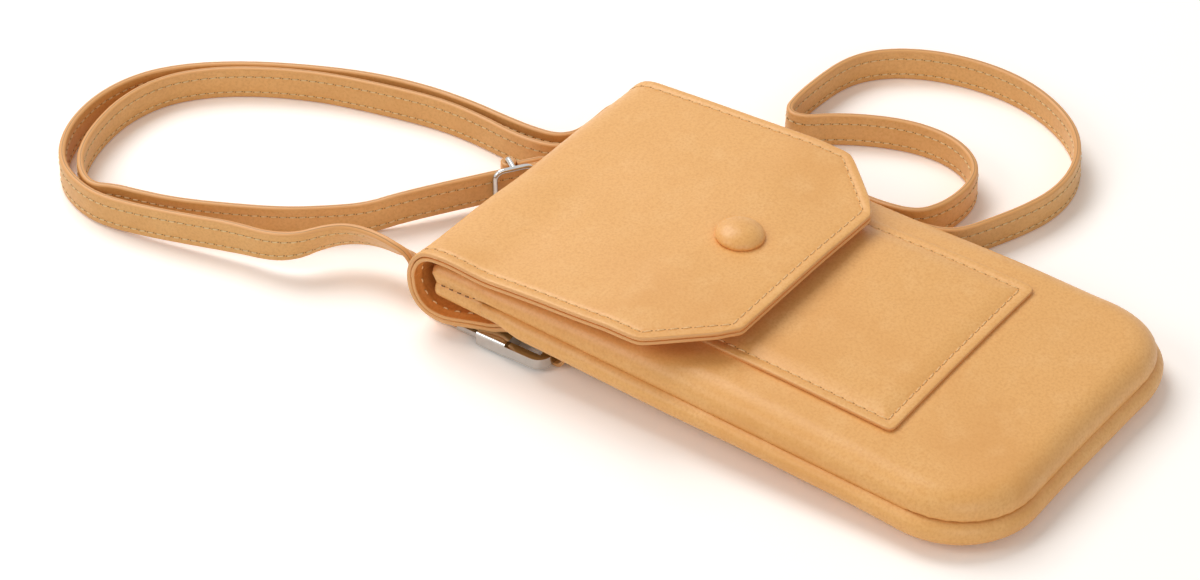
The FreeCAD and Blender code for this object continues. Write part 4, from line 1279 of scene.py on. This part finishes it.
@dataclass
class Front:
    """The padded front, its lining, the card pocket on it and the seams at the mouth.

    A pair named zone or across gives the places along y or x between which a share grows.
    """

    half_width: float = 48.4
    low_y: float = -85.4
    mouth_y: float = 79.4
    corner: float = 22.5
    mouth_corner: float = 0.6
    base: float = 8.75
    top: float = 15.6
    crown: float = 0.35
    break_y: float = 25.0
    drop: float = 2.6
    far_fall: float = 3.4
    far_across: Pair = (22.0, 46.0)
    fall_zone: Pair = (-48.0, 14.0)
    level_zone: Pair = (30.0, 66.0)
    shoulder: float = 7.5
    roundness: float = 2.2
    notch: float = 1.6
    mouth_drop: float = 0.4
    tuck: float = 1.1
    tuck_width: float = 0.9
    mouth_reach: float = 2.2
    reach_length: float = 8.0
    thick: float = 3.4
    thin_share: float = 0.35
    crease_edge: float = 0.15
    lining_in: float = 5.0
    lining_thick: float = 0.5
    pocket_half: float = 33.9
    pocket_far: float = 36.6
    pocket_low: float = -48.9
    pocket_high: float = 10.0
    pocket_corner: float = 1.6
    pocket_leather: float = 1.1
    pocket_rise: float = 1.6
    pocket_edge: float = 0.35
    pocket_groove: float = 0.26
    mouth_seam_in: float = 0.55
    mouth_seam_rise: float = 0.3
    mouth_seam_reach: float = 0.8

    def crease(self, y: Array) -> Array:
        """Height of the seam along the sides, which steps down past the roll and falls to the mouth."""
        step = self.notch * ease(y, STEP_Y - 1, STEP_Y + 4)
        return self.base - step - self.mouth_drop * ease(y, STEP_Y + 1, self.mouth_y - 1)

    def height(self, x: Array, y: Array) -> Array:
        """Outer face: a quarter-ellipse shoulder up from the seam to a level.

        The level is slightly crowned and falls towards the mouth and, beside the flap, to the far side.

        Args:
            x: places across the pouch.
            y: places along it.
        Returns:
            Heights in the flat pouch frame.
        """
        inward = np.clip(body_inward(x, y, self.half_width, self.low_y, self.corner), 0, None)
        base = self.crease(y)
        level = self.top - self.crown * (x / self.half_width) ** 2
        level = level - self.drop * ease(y, self.break_y - 12, self.mouth_y + 8)
        level = level - self.far_fall * ease(x, *self.far_across) * ease(y, *self.fall_zone) * (
            1 - ease(y, *self.level_zone))
        share = np.clip(1 - inward / self.shoulder, 0, 1)
        rise = (1 - share**self.roundness) ** (1 / self.roundness)
        uneven = 0.14 * soft_noise(x, y, size=15, seed=31) + 0.05 * soft_noise(x, y, size=5.5, seed=32)
        return base + (level - base) * rise + uneven * ease(inward, 1.0, 9.0)

    def shell(self) -> Shell:
        """The padded front as a slab with a fat rounded mouth.

        Returns:
            The front's shell.
        """
        outline = rounded_outline(self.half_width, self.low_y, self.mouth_y, self.corner,
                                  step=1.1, top_corner=self.mouth_corner)
        rings = self.shoulder * (1 - np.cos(quarter(15)))
        grid = disc_grid(outline, (self.low_y + 46, self.mouth_y - 40), rings, inner=44)
        x, y = grid[..., 0], grid[..., 1]
        from_side = self.half_width - np.abs(x)
        under = np.clip(1 - from_side / self.tuck_width, 0, 1) ** 2
        drawn_in = x - np.sign(x) * self.tuck * ease(y, STEP_Y, STEP_Y + 4) * under
        reach = self.mouth_reach * ease(y - self.mouth_y, -self.reach_length, 0)
        reach = reach * (1 - ease(from_side, 0.5, 5))
        outer = LIE.skewed(np.dstack([drawn_in, y + reach, self.height(x, y)]))
        at_mouth = ease(outline[:, 1], self.mouth_y - 1.2, self.mouth_y - 0.1)
        ring = np.broadcast_to(np.arange(outer.shape[1]), outer.shape[:2])
        full = np.maximum(ease(ring, 0, 12), at_mouth[:, None])
        thick = self.thick * (self.thin_share + (1 - self.thin_share) * full)
        edge = self.crease_edge + (self.thick * 0.5 - self.crease_edge) * at_mouth
        return slab(outer, thick, edge, ring=True)

    def lining(self) -> Shell:
        """The lining inside the front, a thin sheet a little below the padding.

        Returns:
            The lining's shell.
        """
        half, low, high = self.half_width - self.lining_in, self.low_y + self.lining_in, self.mouth_y - 3
        outline = rounded_outline(half, low, high, self.corner - self.lining_in, step=1.6,
                                  top_corner=self.mouth_corner)
        grid = disc_grid(outline, (low + 40, high - 36), np.array([0.0, 0.6, 1.4, 2.6, 4.0]), inner=20)
        height = self.height(grid[..., 0], grid[..., 1]) - self.thick - 0.2
        height = np.maximum(height, self.base + 0.3)
        return slab(np.dstack([grid, height]), self.lining_thick, self.lining_thick / 2, ring=True)

    def on_pocket(self, x: Array, y: Array) -> Array:
        """Places on the pocket's outer face: on the front at its sewn edges, raised and grooved inside them.

        Args:
            x: places across an even pocket, which is then widened over its far half.
            y: places along it.
        Returns:
            Places in the flat pouch frame.
        """
        x = x + (self.pocket_far - self.pocket_half) * np.clip(x / self.pocket_half, 0, 1)
        inward = np.minimum(np.minimum(self.pocket_half + x, self.pocket_far - x), y - self.pocket_low)
        lift = self.pocket_leather + (self.pocket_rise - self.pocket_leather) * ease(inward, 2.6, 8.0)
        uneven = 0.06 * soft_noise(x, y, size=9, seed=41)
        z = self.height(x, y) + lift - seam_groove(inward, self.pocket_groove) + uneven
        return LIE.skewed(np.stack([x, y, z], -1))

    def pocket(self) -> Shell:
        """The card pocket's leather, sewn on three sides and open under the flap.

        Returns:
            The pocket's shell.
        """
        edge = self.pocket_edge
        outline = rounded_outline(self.pocket_half - edge, self.pocket_low + edge, self.pocket_high - edge,
                                  self.pocket_corner, step=0.8, top_corner=self.mouth_corner)
        grid = disc_grid(outline, (self.pocket_low + 28, self.pocket_high - 28), BORDER, inner=40)
        return slab(self.on_pocket(grid[..., 0], grid[..., 1]), self.pocket_leather, edge, ring=True)

    def pocket_seam(self) -> Shell:
        """Stitches along the pocket's two sides and its low edge.

        Returns:
            The stitches.
        """
        side, low, high = self.pocket_half - SEAM_IN, self.pocket_low + SEAM_IN, self.pocket_high - 1.5
        corners = [(side, high), (side, low), (-side, low), (-side, high)]
        return joined([OUTER_STITCH.row(self.on_pocket(x, y), np.tile(UP, (len(x), 1)))
                       for x, y in legs(corners)])

    def mouth_seam(self) -> Shell:
        """Stitches in the notch between the front and the facing, both sides of the mouth, in thread darkened
        as painted shade of the notch.

        Returns:
            The stitches.
        """
        y = np.arange(STEP_Y + self.mouth_seam_reach, self.mouth_y + self.mouth_seam_reach, 0.5)
        x, z = np.full_like(y, self.half_width - self.mouth_seam_in), self.crease(y) + self.mouth_seam_rise
        tilted = np.tile([1.0, 0.0, 0.35], (len(y), 1))
        return joined([MOUTH_STITCH.row(np.column_stack([side * x, y, z]), tilted * [side, 1, 1])
                       for side in (-1, 1)])

    def build(self, finish: Finishes) -> None:
        """Make the front's pieces; all ride on the pouch.

        Args:
            finish: the materials.
        """
        padded = make_piece("front_outer", self.shell(), finish.leather,
                            ["front_panel", "front_padding"])
        pieces = [
            padded,
            make_piece("front_inside", self.lining(), finish.lining, ["front_lining"]),
            make_piece("card_pocket_patch", self.pocket(), finish.leather, ["card_pocket"]),
            make_piece("pocket_seam", self.pocket_seam(), finish.thread),
            # thread darkened as painted shade of the notch
            make_piece("mouth_seam", self.mouth_seam(), finish.notch_shaded_thread),
        ]
        for piece in pieces:
            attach(piece, Body.POUCH.value)


@dataclass
class EdgeRoll:
    """The rolled edge round the sides and bottom, and the facing that carries on to the mouth."""

    half_width: float = 47.9
    end_y: float = -84.2
    corner: float = 22.0
    high_y: float = 66.2
    radius: float = 2.9
    bottom_radius: float = 3.4
    bottom_zone: Pair = (-80.0, -40.0)
    thin: float = 1.7
    taper: float = 15.0
    closing: float = 2.6
    top: float = 8.6
    end_dip: float = 0.9
    step: float = 0.9
    facing_low: float = 2.1
    facing_high: float = 7.0
    facing_bulge: float = 0.62
    facing_start: float = 61.0
    facing_in: float = 6.0
    mouth_y: float = 82.2
    lip_length: float = 2.2
    lip_reach: float = 1.5
    lip_pull: float = 0.9
    facing_leather: float = 1.4
    facing_drop: float = 0.4

    def roll(self) -> Shell:
        """A round section along the edge that thins towards its two closed ends at the mouth.

        Returns:
            The roll's shell.
        """
        outline = rounded_outline(self.half_width, self.end_y, self.high_y, self.corner, self.step)
        start = int(np.argmin(np.hypot(outline[:, 0] + self.half_width, outline[:, 1] - self.high_y)))
        ring = np.roll(outline, -start, 0)
        sides = ring[np.abs(ring[:, 1] - self.high_y) > 1e-6]
        ends = np.array([(-self.half_width, self.high_y), (self.half_width, self.high_y)])
        path = resample(np.vstack([ends[:1], sides, ends[1:]]), self.step)
        arc = arc_length(path)
        near = np.minimum(arc, arc[-1] - arc)
        size = self.thin + (self.radius - self.thin) * ease(near, 0, self.taper)
        size = size + (self.bottom_radius - self.radius) * (1 - ease(path[:, 1], *self.bottom_zone))
        size = size * np.sqrt(np.clip(1 - (1 - np.clip(near / self.closing, 0, 1)) ** 2, 0.0016, 1))
        size = size + 0.05 * soft_noise(arc, 0.0, size=9, seed=51) * ease(near, 4, 20)
        centre = np.column_stack([LIE.skewed(path), self.top - size - self.end_dip * (1 - ease(near, 0, 9))])
        up = np.tile(UP, (len(path), 1))
        side = unit(np.cross(unit(np.gradient(centre, axis=0)), up))
        turn = circle(32)
        profile = np.stack([np.cos(turn), np.sin(turn)], -1)
        return sweep(profile, np.zeros(len(turn)), centre, side, up, np.stack([size, size], -1))

    def facing(self) -> Shell:
        """The facing behind the mouth: a shallow channel whose two sides roll out and up to the notch.

        Its last rows turn inward by a quarter round, as the lip of the mouth.

        Returns:
            The facing's shell.
        """
        high, low, half = self.facing_high, self.facing_low, self.half_width
        middle, reach = (high + low) / 2, (high - low) / 2
        turn = np.linspace(0.5, 1.5, 18) * math.pi
        left_x = -half + reach * self.facing_bulge * (1 + np.cos(turn))
        left = np.stack([left_x, middle + reach * np.sin(turn)], -1)
        floor_x = np.linspace(-half + self.facing_in, half - self.facing_in, 40)
        profile = np.vstack([left, np.stack([floor_x, np.full_like(floor_x, low)], -1), left[::-1] * [-1, 1]])
        lip, lip_y = quarter(8)[1:], self.mouth_y - self.lip_length
        straight = np.linspace(self.facing_start, lip_y, 14)
        along = np.concatenate([straight, lip_y + self.lip_reach * np.sin(lip)])
        pull = np.concatenate([np.zeros_like(straight), self.lip_pull * (1 - np.cos(lip))])
        ring = profile[None] - unit(profile - [0.0, middle])[None] * pull[:, None, None]
        lowered = self.facing_drop * ease(along, self.high_y + 1, self.mouth_y - 2)[:, None]
        lowered = lowered * ease(ring[..., 1], low, high)
        y = np.broadcast_to(along[:, None], ring.shape[:2])
        return slab(np.dstack([ring[..., 0], y, ring[..., 1] - lowered]), self.facing_leather, edge=0.5)

    def build(self, finish: Finishes) -> None:
        """Make the roll and the facing; both ride on the pouch.

        Args:
            finish: the materials.
        """
        pieces = [
            make_piece("rolled_edge", self.roll(), finish.leather,
                       ["edge_roll", "edge_filler_cord"]),
            make_piece("mouth_facing_roll", self.facing(), finish.leather, ["mouth_facing"]),
        ]
        for piece in pieces:
            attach(piece, Body.POUCH.value)


# The strap

# Places along the strap's middle line, from the near loop to the far one
ROUTE = [
    (-43.0, 84.1, 1.5), (-39.4, 88.4, 2.9), (-37.6, 91.9, 5.3), (-37.4, 95.3, 9.4), (-37.7, 97.8, 11.6),
    (-38.0, 100.7, 12.0), (-37.8, 108.4, 12.0), (-40.2, 115.4, 11.9), (-44.6, 120.5, 11.1),
    (-50.4, 124.6, 10.0), (-53.7, 131.5, 8.9), (-55.1, 142.6, 8.0), (-58.3, 155.0, 7.1),
    (-61.8, 169.5, 6.2), (-63.7, 182.5, 5.4), (-62.0, 192.2, 5.0), (-57.6, 201.6, 5.0), (-49.8, 208.4, 5.0),
    (-39.5, 213.0, 5.0), (-26.5, 214.8, 5.0), (-13.0, 211.8, 5.0), (-2.0, 203.8, 5.0), (8.0, 191.3, 5.0),
    (17.0, 175.5, 5.0), (24.6, 158.3, 5.0), (28.5, 142.5, 5.0), (29.7, 127.0, 5.0), (29.0, 112.0, 5.0),
    (29.3, 102.5, 5.0), (30.6, 96.8, 5.0), (34.8, 93.3, 5.0), (42.0, 92.7, 5.0), (50.9, 92.9, 5.0),
    (55.6, 89.2, 5.0), (56.1, 79.0, 5.0), (55.6, 58.0, 5.0), (55.9, 38.0, 5.0), (55.1, 20.0, 5.0),
    (54.8, 6.0, 5.0), (57.2, -3.2, 5.0), (63.5, -6.8, 5.0), (70.0, -8.2, 5.0), (77.0, -8.2, 5.0),
    (84.0, -5.9, 5.0), (89.6, 0.4, 5.0), (92.3, 9.0, 5.0), (91.6, 19.5, 5.0), (87.6, 30.2, 5.0),
    (82.0, 39.6, 5.0), (76.4, 45.8, 5.0), (76.9, 51.6, 5.0), (84.5, 52.7, 5.0), (96.0, 52.3, 5.0),
    (106.5, 51.0, 5.0), (114.5, 47.2, 5.0), (121.3, 39.6, 5.0), (126.0, 29.5, 5.0), (128.4, 16.5, 5.0),
    (127.6, 4.0, 5.0), (123.6, -7.6, 5.0), (116.6, -18.2, 5.0), (107.4, -25.2, 5.0), (97.0, -28.6, 5.0),
    (86.0, -28.7, 5.0), (75.5, -25.6, 5.0), (64.0, -20.4, 5.0), (56.4, -16.4, 5.0), (52.9, -9.5, 5.0),
    (52.4, 4.0, 5.0), (52.8, 24.0, 5.0), (52.5, 46.0, 5.0), (52.9, 66.0, 5.0), (53.2, 80.0, 5.0),
    (53.0, 87.2, 5.0), (50.1, 90.6, 5.0), (44.0, 90.2, 5.0), (38.0, 89.95, 5.0), (32.0, 90.3, 5.0),
    (27.6, 92.6, 5.0), (25.0, 97.3, 5.0), (23.9, 106.5, 5.0), (25.4, 121.0, 5.0), (25.2, 133.5, 5.0),
    (22.7, 146.5, 5.0), (19.4, 160.0, 5.0), (15.4, 172.3, 5.0), (8.5, 186.0, 5.0), (0.0, 197.4, 5.0),
    (-10.5, 205.4, 5.0), (-24.0, 208.3, 5.0), (-38.5, 206.2, 5.0), (-50.0, 201.7, 5.0), (-57.3, 195.3, 5.0),
    (-60.6, 188.4, 5.0), (-57.4, 182.6, 5.0), (-55.8, 175.6, 5.0), (-52.6, 164.6, 5.0), (-46.5, 151.5, 5.0),
    (-39.6, 138.4, 5.0), (-32.0, 128.6, 5.0), (-24.6, 120.6, 5.0), (-17.0, 114.5, 6.8), (15.5, 92.0, 6.8),
    (20.0, 88.8, 6.2), (24.0, 86.3, 5.0), (28.0, 85.0, 4.0), (34.0, 84.4, 3.65), (39.0, 84.9, 3.6),
    (43.0, 84.1, 3.6),
]
# Distance from each end, turn from standing on edge in degrees, and width there
NEAR_TWIST = np.array([
    (0, -90, 4.4), (6, -84, 5.8), (11, -72, 7.5), (16, -54, 8.9), (19.5, -43, 9.7), (23, -37, 10),
    (30, -34, 10), (38, -26, 10), (46, -18, 10), (56, -8, 10), (72, 0, 10),
])
FAR_TWIST = np.array([
    (0, -90, 4.4), (4, -90, 4.4), (9, -89, 5.0), (15, -83, 5.8), (19.4, -65, 7.2), (24.3, -35, 8.9),
    (30, 0, 10),
])


@dataclass
class StrapLine:
    """The strap's middle line: its places, and its thin and tall directions and width there."""

    path: Array
    thin: Array
    tall: Array
    wide: Array

    def part(self, which: Union[slice, Array]) -> "StrapLine":
        """A stretch of the line."""
        return StrapLine(self.path[which], self.thin[which], self.tall[which], self.wide[which])


@dataclass
class Strap:
    """The strap from the near loop round its coils to the slider and the far loop."""

    width: float = 10.0
    thick: float = 2.0
    step: float = 1.0
    lean: float = math.radians(3.0)
    lean_from_near: Pair = (60.0, 110.0)
    lean_from_far: Pair = (80.0, 130.0)
    seams_at: Pair = (-3.0, 2.2)
    seam_start: float = 30.0
    seam_sunk: float = 0.12
    groove: float = 0.16
    slider: Place = (8.47, 96.86, 6.8)
    double_gap: float = 0.12
    bar_below: float = 3.45
    sleeve_radius: float = 1.58
    sleeve_leather: float = 1.3

    def spline(self) -> Array:
        """Points of the strap's line: a smooth curve with the route's points as its controls.

        Returns:
            Points in mm, evenly spaced.
        """
        curve = bpy.data.curves.new("strap_line", "CURVE")
        curve.dimensions = "3D"
        line = curve.splines.new("NURBS")
        line.points.add(len(ROUTE) - 1)
        places = np.column_stack([np.array(ROUTE) * MM, np.ones(len(ROUTE))])
        line.points.foreach_set("co", places.ravel())
        line.order_u = 3
        line.use_endpoint_u = True
        line.resolution_u = 10
        holder = put("strap_line", curve)
        bpy.context.view_layer.update()
        mesh = bpy.data.meshes.new_from_object(holder)
        points = np.zeros(len(mesh.vertices) * 3)
        mesh.vertices.foreach_get("co", points)
        bpy.data.objects.remove(holder)
        bpy.data.meshes.remove(mesh)
        return resample(points.reshape(-1, 3) / MM, self.step)

    def line(self) -> StrapLine:
        """The strap's line with its directions: it stands on edge and turns flat over its two ends.

        Returns:
            The line from the near loop to the far one.
        """
        path = self.spline()
        arc = arc_length(path)
        left = arc[-1] - arc
        ahead = unit(np.gradient(path, axis=0))
        plain = unit(np.cross(ahead, UP))
        other = np.cross(ahead, plain)
        lean = self.lean * soft_noise(arc, 0.0, size=34, seed=61)
        lean = lean * ease(arc, *self.lean_from_near) * ease(left, *self.lean_from_far)
        near = interpolate(arc, NEAR_TWIST[:, 0], NEAR_TWIST)
        far = interpolate(left, FAR_TWIST[:, 0], FAR_TWIST)
        turn = (lean + np.radians(near[:, 1] + far[:, 1]))[:, None]
        thin = plain * np.cos(turn) + other * np.sin(turn)
        return StrapLine(path, thin, unit(np.cross(thin, ahead)), np.minimum(near[:, 2], far[:, 2]))

    def ribbon(self, line: StrapLine) -> Shell:
        """The strap's section carried along a line.

        Args:
            line: the line.
        Returns:
            The ribbon's shell.
        """
        profile, paint = strip_profile(self.width, self.thick, self.seams_at, self.groove)
        scale = np.stack([line.wide / self.width, np.ones(len(line.path))], -1)
        return sweep(profile, paint, line.path, line.tall, line.thin, scale)

    def seams(self, whole: StrapLine) -> Shell:
        """Two rows of stitches on each face, from past the twisted near end.

        Args:
            whole: the strap's line.
        Returns:
            The stitches.
        """
        line = whole.part(arc_length(whole.path) > self.seam_start)
        across = line.tall * (line.wide / self.width)[:, None]
        above = line.thin * (self.thick / 2 - self.seam_sunk)
        return joined([STRAP_STITCH.row(line.path + across * row + above * face, line.thin * face)
                       for face in (-1, 1) for row in self.seams_at])

    def doubled(self, whole: StrapLine) -> Shell:
        """The layer that comes back under the far end, and its sleeve round the slider's back bar.

        Args:
            whole: the strap's line.
        Returns:
            Both as one shell.
        """
        at_slider = int(np.argmin(np.linalg.norm(whole.path - np.array(self.slider), axis=1)))
        under = whole.part(slice(at_slider + 2, None))
        under.path = under.path - under.thin * (self.thick + self.double_gap)
        here = whole.part(at_slider)
        ahead = unit(np.gradient(whole.path, axis=0)[at_slider])
        turn = np.linspace(0, 2 * math.pi, 25)
        spokes = np.cos(turn)[:, None] * ahead + np.sin(turn)[:, None] * here.thin
        ring = here.path - here.thin * self.bar_below + spokes * self.sleeve_radius
        profile, paint = strip_profile(self.width, self.sleeve_leather)
        up = np.tile(here.tall, (len(turn), 1))
        return joined([self.ribbon(under), sweep(profile, paint, ring, up, spokes, np.ones((len(turn), 2)))])

    def build(self, finish: Finishes) -> None:
        """Args:
            finish: the materials.
        """
        line = self.line()
        strap = make_piece("shoulder_strap", self.ribbon(line), finish.strap,
                           ["strap", "strap_near_end", "strap_far_end"], flat=False)
        seams = make_piece("strap_seams", self.seams(line), finish.strap_thread, flat=False)
        double = make_piece("strap_double", self.doubled(line), finish.strap, ["strap_return"],
                            flat=False)
        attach(strap, Body.POUCH.value)
        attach(seams, Body.POUCH.value)
        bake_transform(double)
        tuple(line.path[0] * MM)
        (line.path * MM).tolist()


# Metal parts and what holds them

METAL = ["snap_stud", "snap_socket", "button_dome", "strap_slider"]
CLASP_METAL = ["clasp_hook", "gate_pin", "clasp_gate", "swivel_eye"]
# Side views (y, z) of the leather strips: the tab in the clasp, and the two loops in the swivel eyes
TAB_LINE = [
    (26.5, 8.6), (41.0, 9.2), (45.0, 5.7), (49.6, 5.5), (49.8, 0.7), (45.0, 0.7), (40.0, 7.7), (26.5, 7.4),
]
LOOP_START = [(83.9, 1.2), (77.0, 1.2), (72.2, 1.2), (72.2, 4.8), (76.4, 4.8)]


@dataclass(frozen=True)
class Hanger:
    """One of the two places that the strap hangs from: its name, side, clasp, and where its loop ends."""

    tag: str
    side: int
    clasp: Body
    loop_end: tuple[Pair, Pair]


HANGERS = (
    Hanger("near", -1, Body.NEAR_CLASP, ((79.5, 2.6), (83.9, 2.5))),
    Hanger("far", 1, Body.FAR_CLASP, ((80.0, 3.7), (83.9, 3.6))),
)


@dataclass
class Hardware:
    """Clasps, eyes, tabs, strap loops, snap and slider."""

    clasp_x: float = 43.0
    tab_width: float = 2.4
    tab_thick: float = 1.0
    tab_inset: float = 1.2
    loop_width: float = 4.4
    loop_thick: float = 1.3
    step: float = 0.25
    spread: float = 0.7

    def ribbon_loop(self, x: float, line: Sequence[Pair], width: float, thick: float) -> Shell:
        """A leather strip along a smoothed side view (y, z), at one place across.

        Args:
            x: its place across.
            line: the side view.
            width: the strip's width.
            thick: its thickness.
        Returns:
            The strip's shell.
        """
        path = smoothed(resample(np.array(line, float), self.step), self.spread, self.step)
        centre = np.column_stack([np.full(len(path), x), path])
        side = np.tile([1.0, 0.0, 0.0], (len(path), 1))
        up = unit(np.cross(unit(np.gradient(centre, axis=0)), side))
        profile, paint = strip_profile(width, thick)
        return sweep(profile[::-1], paint[::-1], centre, side, up, np.ones((len(path), 2)))

    def build(self, finish: Finishes) -> None:
        """Dress the metal nodes and make the leather that holds them.

        Args:
            finish: the materials.
        """
        for name in METAL + [f"{hanger.tag}_{part}" for hanger in HANGERS for part in CLASP_METAL]:
            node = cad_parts[name]
            node.data.materials.clear()
            node.data.materials.append(finish.nickel)
        for hanger in HANGERS:
            tag, x = hanger.tag, hanger.side * self.clasp_x
            tab_x = x - hanger.side * self.tab_inset
            strip = self.ribbon_loop(tab_x, TAB_LINE, self.tab_width, self.tab_thick)
            band = self.ribbon_loop(x, [*LOOP_START, *hanger.loop_end], self.loop_width, self.loop_thick)
            tab = make_piece(f"{tag}_tab", strip, finish.leather, [f"{tag}_hanging_tab"],
                             flat=False)
            loop = make_piece(f"{tag}_loop", band, finish.strap, [f"{tag}_strap_loop"],
                              flat=False)
            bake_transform(tab)
            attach(loop, Body.POUCH.value)


# Studio


@dataclass(frozen=True)
class Lamp:
    """A square soft lamp: its place and size in metres and its power in watts."""

    name: str
    place: Place
    size: float
    power: float


LAMPS = (
    Lamp("key", (0.24, 0.80, 1.16), 0.9, 12.2),
    Lamp("side", (-1.00, 0.70, 0.95), 0.6, 4.2),
    Lamp("fill", (-0.80, -0.95, 0.60), 0.9, 4.0),
)


@dataclass
class Studio:
    """Pale floor, soft light and the camera."""

    azimuth: float = -55.22
    elevation: float = 38.315
    distance: float = 0.9651
    lens: float = 108.6
    sensor: float = 36.0
    target: Place = (-0.00973, 0.05483, 0.0)
    ambient: float = 0.30
    floor_reach: float = 6.0
    paper: Colour = (0.96, 0.945, 0.93)
    seen_paper: Colour = (1.24, 1.18, 1.12)

    def aim(self, name: str, data: bpy.types.ID, place: Vector) -> bpy.types.Object:
        """Put a camera or lamp at a place, facing the target.

        Args:
            name: its name.
            data: the camera or lamp.
            place: where it stands.
        Returns:
            The object.
        """
        holder = put(name, data)
        holder.location = place
        holder.rotation_mode = "QUATERNION"
        holder.rotation_quaternion = (Vector(self.target) - place).to_track_quat("-Z", "Y")
        return holder

    def camera(self) -> None:
        """A camera at the photograph's angle."""
        data = bpy.data.cameras.new("camera")
        data.lens = self.lens
        data.sensor_width = self.sensor
        data.clip_start, data.clip_end = 0.01, 50.0
        turn, rise = math.radians(self.azimuth), math.radians(self.elevation)
        back = Vector((math.sin(turn) * math.cos(rise), -math.cos(turn) * math.cos(rise), math.sin(rise)))
        bpy.context.scene.camera = self.aim("camera", data, Vector(self.target) + back * self.distance)

    def floor(self) -> None:
        """A wide pale floor that the camera sees as near white, with the object's shadow."""
        made = bpy.data.materials.new("studio_floor")
        tree = Tree(made)
        colour = tree.mix(tree.rays("Camera", "Glossy"), self.paper, self.seen_paper)
        tree.surface("ShaderNodeBsdfDiffuse", {"Color": colour})
        mesh = bpy.data.meshes.new("floor")
        corners = [(-1, -1, 0), (1, -1, 0), (1, 1, 0), (-1, 1, 0)]
        mesh.from_pydata((np.array(corners) * self.floor_reach).tolist(), [], [(0, 1, 2, 3)])
        mesh.materials.append(made)
        put("floor", mesh)

    def light(self, lamp: Lamp) -> None:
        """Put up one lamp.

        Args:
            lamp: the lamp.
        """
        data = bpy.data.lights.new(lamp.name, "AREA")
        data.shape = "SQUARE"
        data.size = lamp.size
        data.energy = lamp.power
        self.aim(lamp.name, data, Vector(lamp.place))

    def sky(self) -> None:
        """A white world, dimmer as a light than as it is seen."""
        world = bpy.data.worlds.new("studio")
        bpy.context.scene.world = world
        tree = Tree(world)
        seen = tree.rays("Camera", "Glossy", "Transmission")
        sky = tree.node("ShaderNodeBackground", None, {
            "Color": (1, 1, 1, 1), "Strength": seen * (1 - self.ambient) + self.ambient})
        tree.node("ShaderNodeOutputWorld", None, {"Surface": sky.outputs[0]})

    def build(self) -> None:
        """Set up the studio."""
        bpy.context.scene.view_settings.view_transform = "Standard"
        self.sky()
        self.floor()
        for lamp in LAMPS:
            self.light(lamp)
        self.camera()


def main() -> None:
    """Build every sub-assembly in order."""
    logging.basicConfig(level=logging.INFO, format="%(message)s")
    Studio().build()
    finish = Finishes()
    Strap().build(finish)
    sheet = FoldSheet(FoldLine())
    Back(sheet).build(finish)
    EdgeRoll().build(finish)
    Front().build(finish)
    Flap(sheet).build(finish)
    Hardware().build(finish)


if __name__ == "__main__":
    main()
